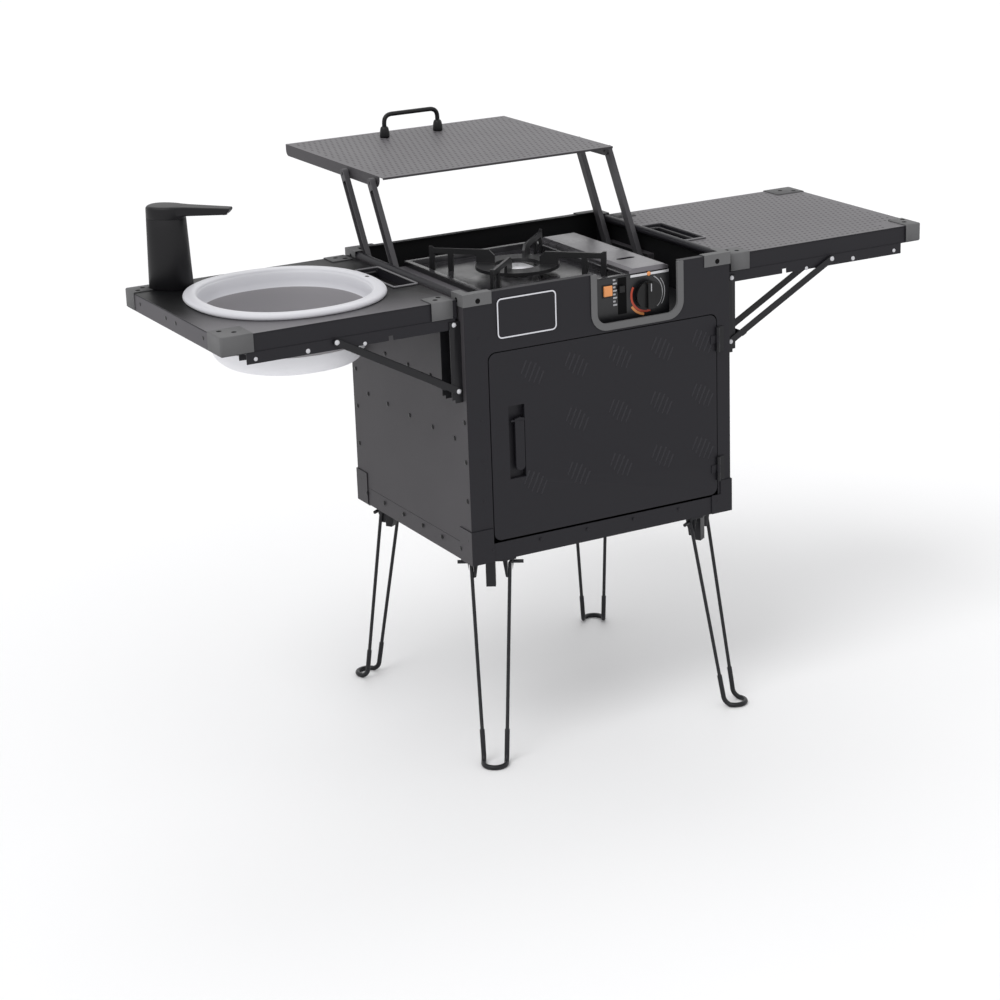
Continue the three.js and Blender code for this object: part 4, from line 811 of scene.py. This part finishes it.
# The caps' length along the shelf and width across it
CAPS = {
    ("left", "front", "outer"): (58, 56), ("left", "back", "outer"): (44, 42),
    ("left", "front", "inner"): (40, 40), ("left", "back", "inner"): (40, 40),
    ("right", "front", "outer"): (34, 56), ("right", "back", "outer"): (62, 52),
    ("right", "front", "inner"): (40, 40), ("right", "back", "inner"): (40, 40),
}
TOP_AND_FRONT = [
    ((0, 0, 1), (1, 0, 1), (1, 1, 1), (0, 1, 1)), ((0, 0, 0), (1, 0, 0), (1, 0, 1), (0, 0, 1)),
]
OUTER_END = [((0, 0, 0), (0, 0, 1), (0, 1, 1), (0, 1, 0))]
for (side, end, where), (long, wide) in CAPS.items():
    s, e = SIDES[side], ENDS[end]
    outer = where == "outer"
    start, inward = (SHELF_OUT + CAP_PROUD, -1) if outer else (SHELF_IN + CAP_BACK, 1)
    xs = (s * start, s * (start + inward * long))
    ys = (e * (SHELF_HALF + CAP_PROUD), e * (SHELF_HALF + CAP_PROUD - wide))
    zs = (CAP_LOW, SHELF_TOP + CAP_PROUD)
    mesh = bmesh.new()
    vertex = {}
    for i, x in enumerate(xs):
        for j, y in enumerate(ys):
            for k, z in enumerate(zs):
                vertex[i, j, k] = mesh.verts.new(at(x, y, z))
    for face in TOP_AND_FRONT + (OUTER_END if outer else []):
        mesh.faces.new([vertex[q] for q in face])
    bmesh.ops.recalc_face_normals(mesh, faces=mesh.faces)
    top = next(f for f in mesh.faces if abs(f.normal.z) > 0.9)
    if top.normal.z < 0:
        bmesh.ops.reverse_faces(mesh, faces=mesh.faces)
    loose = [q for q in mesh.verts if not q.link_faces]
    bmesh.ops.delete(mesh, geom=loose, context="VERTS")
    name = "_".join((end, side, where, "shelf_cap"))
    data = mesh_data(name, mesh, ["cap"])
    cap = bpy.data.objects.new(name, data)
    finish_piece(cap, side + "_shelf")
    # Only the upright edge at the shelf's own corner gets the wide bend
    bend_corner = cap.modifiers.new("corner", "BEVEL")
    bend_corner.width = CAP_CORNER * MM
    bend_corner.segments = 5
    bend_corner.limit_method = "WEIGHT"
    weights = data.attributes.new("bevel_weight_edge", "FLOAT", "EDGE")
    corner = at(xs[0], ys[0], 0)
    for edge in data.edges:
        a, b = (data.vertices[q].co for q in edge.vertices)
        upright = abs((a - b).normalized().z) > 0.9
        at_corner = abs(a.x - corner.x) < MM and abs(a.y - corner.y) < MM
        weights.data[edge.index].value = 1.0 if upright and at_corner and outer else 0.0
    round_edges(cap, CAP_EDGE, 3)
    thickness = cap.modifiers.new("wall", "SOLIDIFY")
    thickness.thickness = CAP_PROUD * MM
    thickness.offset = -1
    mesh = bmesh.new()
    for a, b in CAP_SCREWS:
        place = at(xs[0] + (xs[1] - xs[0]) * a, ys[0] + (ys[1] - ys[0]) * b, zs[1])
        dome(mesh, place, (0, 0, 1), CAP_SCREW, CAP_SCREW_HIGH, 16)
    new_piece(name + "_screws", mesh, ["sunk"], side + "_shelf")
print("corner caps", len(CAPS))

# %% [markdown]
# Bright rivets pin the folding brackets, and dark ones hold the sheets. They are low domes, set
# where the photograph shows them, and repeated on the sides that it doesn't show.

# %% Rivets and screws
ARM_FACE = 211.5


def heads(name, places, normal, radius, height, finish, body):
    mesh = bmesh.new()
    for place in places:
        dome(mesh, place, normal, radius, height)
    new_piece(name, mesh, [finish], body)


# Name, whether it rides the shelf, radius, height, places outwards from the cabinet's middle
BRACKET_HEADS = [
    ("channel_rivets", False, 4.4, 2.2, [(283, 215.2, 434.4)]),
    ("brace_foot_rivet", False, 4.4, 2.2, [(279, 216.9, 317)]),
    ("brace_head_rivet", True, 4.6, 2.2, [(503, 216.7, 438.8)]),
    ("arm_rivets", True, 3.6, 1.6, [(449.5, ARM_FACE, 427.6), (648, ARM_FACE, 433)]),
    ("lever_rivet", True, 4.2, 1.8, [(554, ARM_FACE, 431.4)]),
]
for end, e in ENDS.items():
    for side, s in SIDES.items():
        place = end + "_" + side
        for name, on_shelf, radius, height, spots in BRACKET_HEADS:
            body = side + "_shelf" if on_shelf else "cabinet"
            heads(place + "_" + name, [at(s * x, e * y, z) for x, y, z in spots], (0, e, 0),
                  radius, height, "rivet", body)

side_rows = [(84, 316), (-7, 316), (-94, 316)] + [(y, 221.5) for y in (164, 83, -5, -94, -176)]
edge_rows = [(-215, z) for z in (259, 187, 116, 44)] + [(212, z) for z in (259, 187, 114, 44)]
skirt_rows = [(y, 22) for y in (187, 115, 37, -39, -114, -187)]
for side, s in SIDES.items():
    heads(side + "_panel_rivets", [at(s * (HALF_X + 0.1), y, z) for y, z in side_rows + edge_rows],
          (s, 0, 0), 4.5, 2.2, "screw", "cabinet")
    heads(side + "_skirt_rivets", [at(s * 272, y, z) for y, z in skirt_rows],
          (s, 0, 0), 4.2, 1.8, "screw", "cabinet")
    heads(side + "_shelf_end_rivets", [at(s * SHELF_OUT, y, 461) for y in (147, 28, -16, -135)],
          (s, 0, 0), 4.0, 1.0, "screw", side + "_shelf")
heads("front_post_rivets", [at(-243, -HALF_Y - 0.05, z) for z in (406, 262, 186, 115)],
      (0, -1, 0), 3.0, 0.8, "front", "cabinet")
heads("back_panel_rivets",
      [at(x, HALF_Y, z) for x in (-225, -75, 75, 225) for z in (80, 200, 320, 440)],
      (0, 1, 0), 3.6, 1.3, "screw", "cabinet")
for end, e in ENDS.items():
    heads(end + "_skirt_rivets", [at(x, e * 229, 23) for x in (-229, -133, -37, 60, 157, 240)],
          (0, e, 0), 3.0, 0.9, "front", "cabinet")
    for side, s in SIDES.items():
        place = end + "_" + side
        heads(place + "_cap_screws", [at(s * 243, e * 228.8, 473)],
              (0, e, 0), 4.8, 0.9, "sunk", "cabinet")
        heads(place + "_cap_side_screw", [at(s * 271.8, e * 205, 475)],
              (s, 0, 0), 4.4, 0.6, "sunk", "cabinet")
print("rivets and screws set")

# %% [markdown]
# The lid and the right shelf carry rows of small pressed dots against slipping, each row set
# half a step off from the one before. They are real bumps, coloured darker than the top around
# them, whose paler shade is painted light from above.

# %% Pressed dots
DOT_PITCH_X, DOT_PITCH_Y = 11.5, 15.5
DOT_RADIUS, DOT_HEIGHT, DOT_SUNK = 2.9, 0.5, 0.1
BOOT_ROOM = 13
DISH_END, DISH_FRONT, DISH_BACK = 328, -80, 92
CAP_ROOM_Y, CAP_ROOM_IN, CAP_ROOM_OUT = 150, 326, 640


def dotted(name, xs, ys, z, body, skip):
    mesh = bmesh.new()
    row = 0
    y = ys[0]
    while y <= ys[1]:
        x = xs[0] + (row % 2) * DOT_PITCH_X / 2
        while x <= xs[1]:
            if not skip(x, y):
                dome(mesh, at(x, y, z), (0, 0, 1), DOT_RADIUS, DOT_HEIGHT, 10, 1, DOT_SUNK)
            x += DOT_PITCH_X
        y += DOT_PITCH_Y
        row += 1
    new_piece(name, mesh, ["worktop_dot"], body, 60)


def near_boots(x, y):
    return abs(abs(x) - HANDLE_HALF) < BOOT_ROOM and abs(y - HANDLE_Y) < BOOT_ROOM


def shelf_gaps(x, y):
    dish = x < DISH_END and DISH_FRONT < y < DISH_BACK
    corners = abs(y) > CAP_ROOM_Y and (x < CAP_ROOM_IN or x > CAP_ROOM_OUT)
    return dish or corners


dotted("lid_dots", (-228, 228), (134, 524), LID_TOP, "lid", near_boots)
dotted("shelf_dots", (288, 694), (-196, 196), SHELF_TOP, "right_shelf", shelf_gaps)
print("dot pitch", DOT_PITCH_X, DOT_PITCH_Y)

# %% [markdown]
# The door is stiffened by groups of short slanted beads, pressed from behind. Each bead is a
# long low lozenge, each group steps down to the right, and its middle bead is the longest.

# %% Beads pressed into the door
BEAD_SLANT, BEAD_LONG, BEAD_WIDE, BEAD_HIGH = math.radians(63), 36, 3.2, 0.6
STEP_RIGHT, STEP_DOWN, STEP_SHORTER = 8.5, 6, 5
BEAD_SIDES = 10
BEAD_GROUPS = {
    331: (-140, -52, 38, 126, 212), 231: (-52, 36, 122, 210), 131: (-140, -52, 36, 124, 210),
}


def bead(mesh, x, z, length):
    along = Vector((math.cos(BEAD_SLANT), 0, math.sin(BEAD_SLANT)))
    across = Vector((-along.z, 0, along.x))
    half = BEAD_WIDE / 2
    rings = []
    for lift, shrink in ((-0.2, 1.0), (0.0, 1.0), (BEAD_HIGH * 0.75, 0.72), (BEAD_HIGH, 0.35)):
        ring = []
        for k in range(BEAD_SIDES):
            t = 2 * math.pi * k / BEAD_SIDES
            run = math.copysign(length / 2 - half, math.cos(t))
            p = along * (run + half * shrink * math.cos(t)) + across * (half * shrink * math.sin(t))
            ring.append(at(x + p.x, -HALF_Y - lift, z + p.z))
        rings.append(ring)
    skin(mesh, rings)


mesh = bmesh.new()
for z, columns in BEAD_GROUPS.items():
    for x in columns:
        for i in range(-2, 3):
            bead(mesh, x + STEP_RIGHT * i, z - STEP_DOWN * i, BEAD_LONG - STEP_SHORTER * abs(i))
# The beads are painted lighter than the door around them, as a painted highlight
new_piece("door_beads", mesh, ["bead"], "door", 60)
print("bead groups", sum(len(columns) for columns in BEAD_GROUPS.values()))

# %% [markdown]
# The stove shows through the notch: a square orange push button, a column of pale marks, the
# black track of the canister lever, and a printed scale round the knob, red towards full flame.
# At its left a grey strip of sheet closes the space between the stove and the side panel.

# %% Stove front
STOVE_FACE, KNOB_X, KNOB_Z = -205.0, 108, 429
ARC_STEPS, PRINT, BEHIND = 18, 0.2, 0.1
MARKS, MARK_X, MARK_Z, MARK_STEP, MARK_HIGH = 8, 39.4, 417, 6.4, 3
MARK_LENGTHS = (8, 5)
POINTER_HALF, POINTER_FROM, POINTER_TO = 0.9, 8, 22


def scale_arc(mesh, start, stop, inside, outside):
    """A printed arc round the knob, between two angles and two radii"""
    rings = []
    for i in range(ARC_STEPS + 1):
        t = math.radians(start + (stop - start) * i / ARC_STEPS)
        rings.append([
            at(KNOB_X + radius * math.cos(t), STOVE_FACE + depth, KNOB_Z + radius * math.sin(t))
            for radius, depth in (
                (inside, BEHIND), (outside, BEHIND), (outside, -PRINT), (inside, -PRINT))
        ])
    skin(mesh, rings)


def plate(name, xs, zs, proud, sunk, finish, rounding=0, segments=2):
    """A flat box on the stove's front, so far proud of its face and so far sunk into it"""
    mesh = bmesh.new()
    box_between(mesh, (xs[0], STOVE_FACE - proud, zs[0]), (xs[1], STOVE_FACE + sunk, zs[1]))
    made = new_piece(name, mesh, [finish], "cabinet", 30)
    if rounding:
        round_edges(made, rounding, segments)


# The strip beside the stove is painted a lighter grey, as painted light in the shade under the lid
mesh = bmesh.new()
box_between(mesh, (-240.5, -203, 458), (-199.6, 128, 460))
box_between(mesh, (-242.4, -203, 458), (-240.4, 128, 463))
apron = new_piece("stove_side_apron", mesh, ["apron"], "cabinet", 30)
round_edges(apron, 0.5)

mesh = bmesh.new()
scale_arc(mesh, 150, 285, 29, 33)
new_piece("flame_scale_red", mesh, ["red"], "cabinet")
mesh = bmesh.new()
scale_arc(mesh, 212, 262, 33.6, 38)
new_piece("flame_scale_orange", mesh, ["orange"], "cabinet")
mesh = bmesh.new()
scale_arc(mesh, -48, 62, 33, 34.6)
scale_arc(mesh, -35, 40, 38, 39.2)
for i in range(MARKS):
    low = (MARK_X, STOVE_FACE - PRINT, MARK_Z + MARK_STEP * i)
    high = (MARK_X + MARK_LENGTHS[i % 2], STOVE_FACE + BEHIND, low[2] + MARK_HIGH)
    box_between(mesh, low, high)
new_piece("stove_marks", mesh, ["print"], "cabinet")

plate("spark_button", (19, 37), (436, 455), 3.4, 0.2, "orange", 1.6, 3)
plate("spark_button_frame", (16.5, 38.4), (433.5, 457.5), 0.7, 0.2, "knob", 0.5)
plate("lever_track", (49, 67), (400, 466), 0.22, 0.1, "sunk")
plate("cover_sill", (75.5, 155.4), (462.6, 467.2), 0.9, 0.1, "bright", 0.4)
heads("flame_lamp", [at(113.5, STOVE_FACE - 0.8, 465)], (0, -1, 0), 4.2, 1.6,
      "orange", "cabinet")

knob_face = (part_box("stove_knob")[0].y - cabinet_middle.y) / MM
print("knob face", round(knob_face, 2))
mesh = bmesh.new()
box_between(mesh, (KNOB_X - POINTER_HALF, knob_face - 0.2, KNOB_Z + POINTER_FROM),
            (KNOB_X + POINTER_HALF, knob_face + 0.4, KNOB_Z + POINTER_TO))
new_piece("knob_pointer", mesh, ["print"], "knob")
print("stove front dressed")
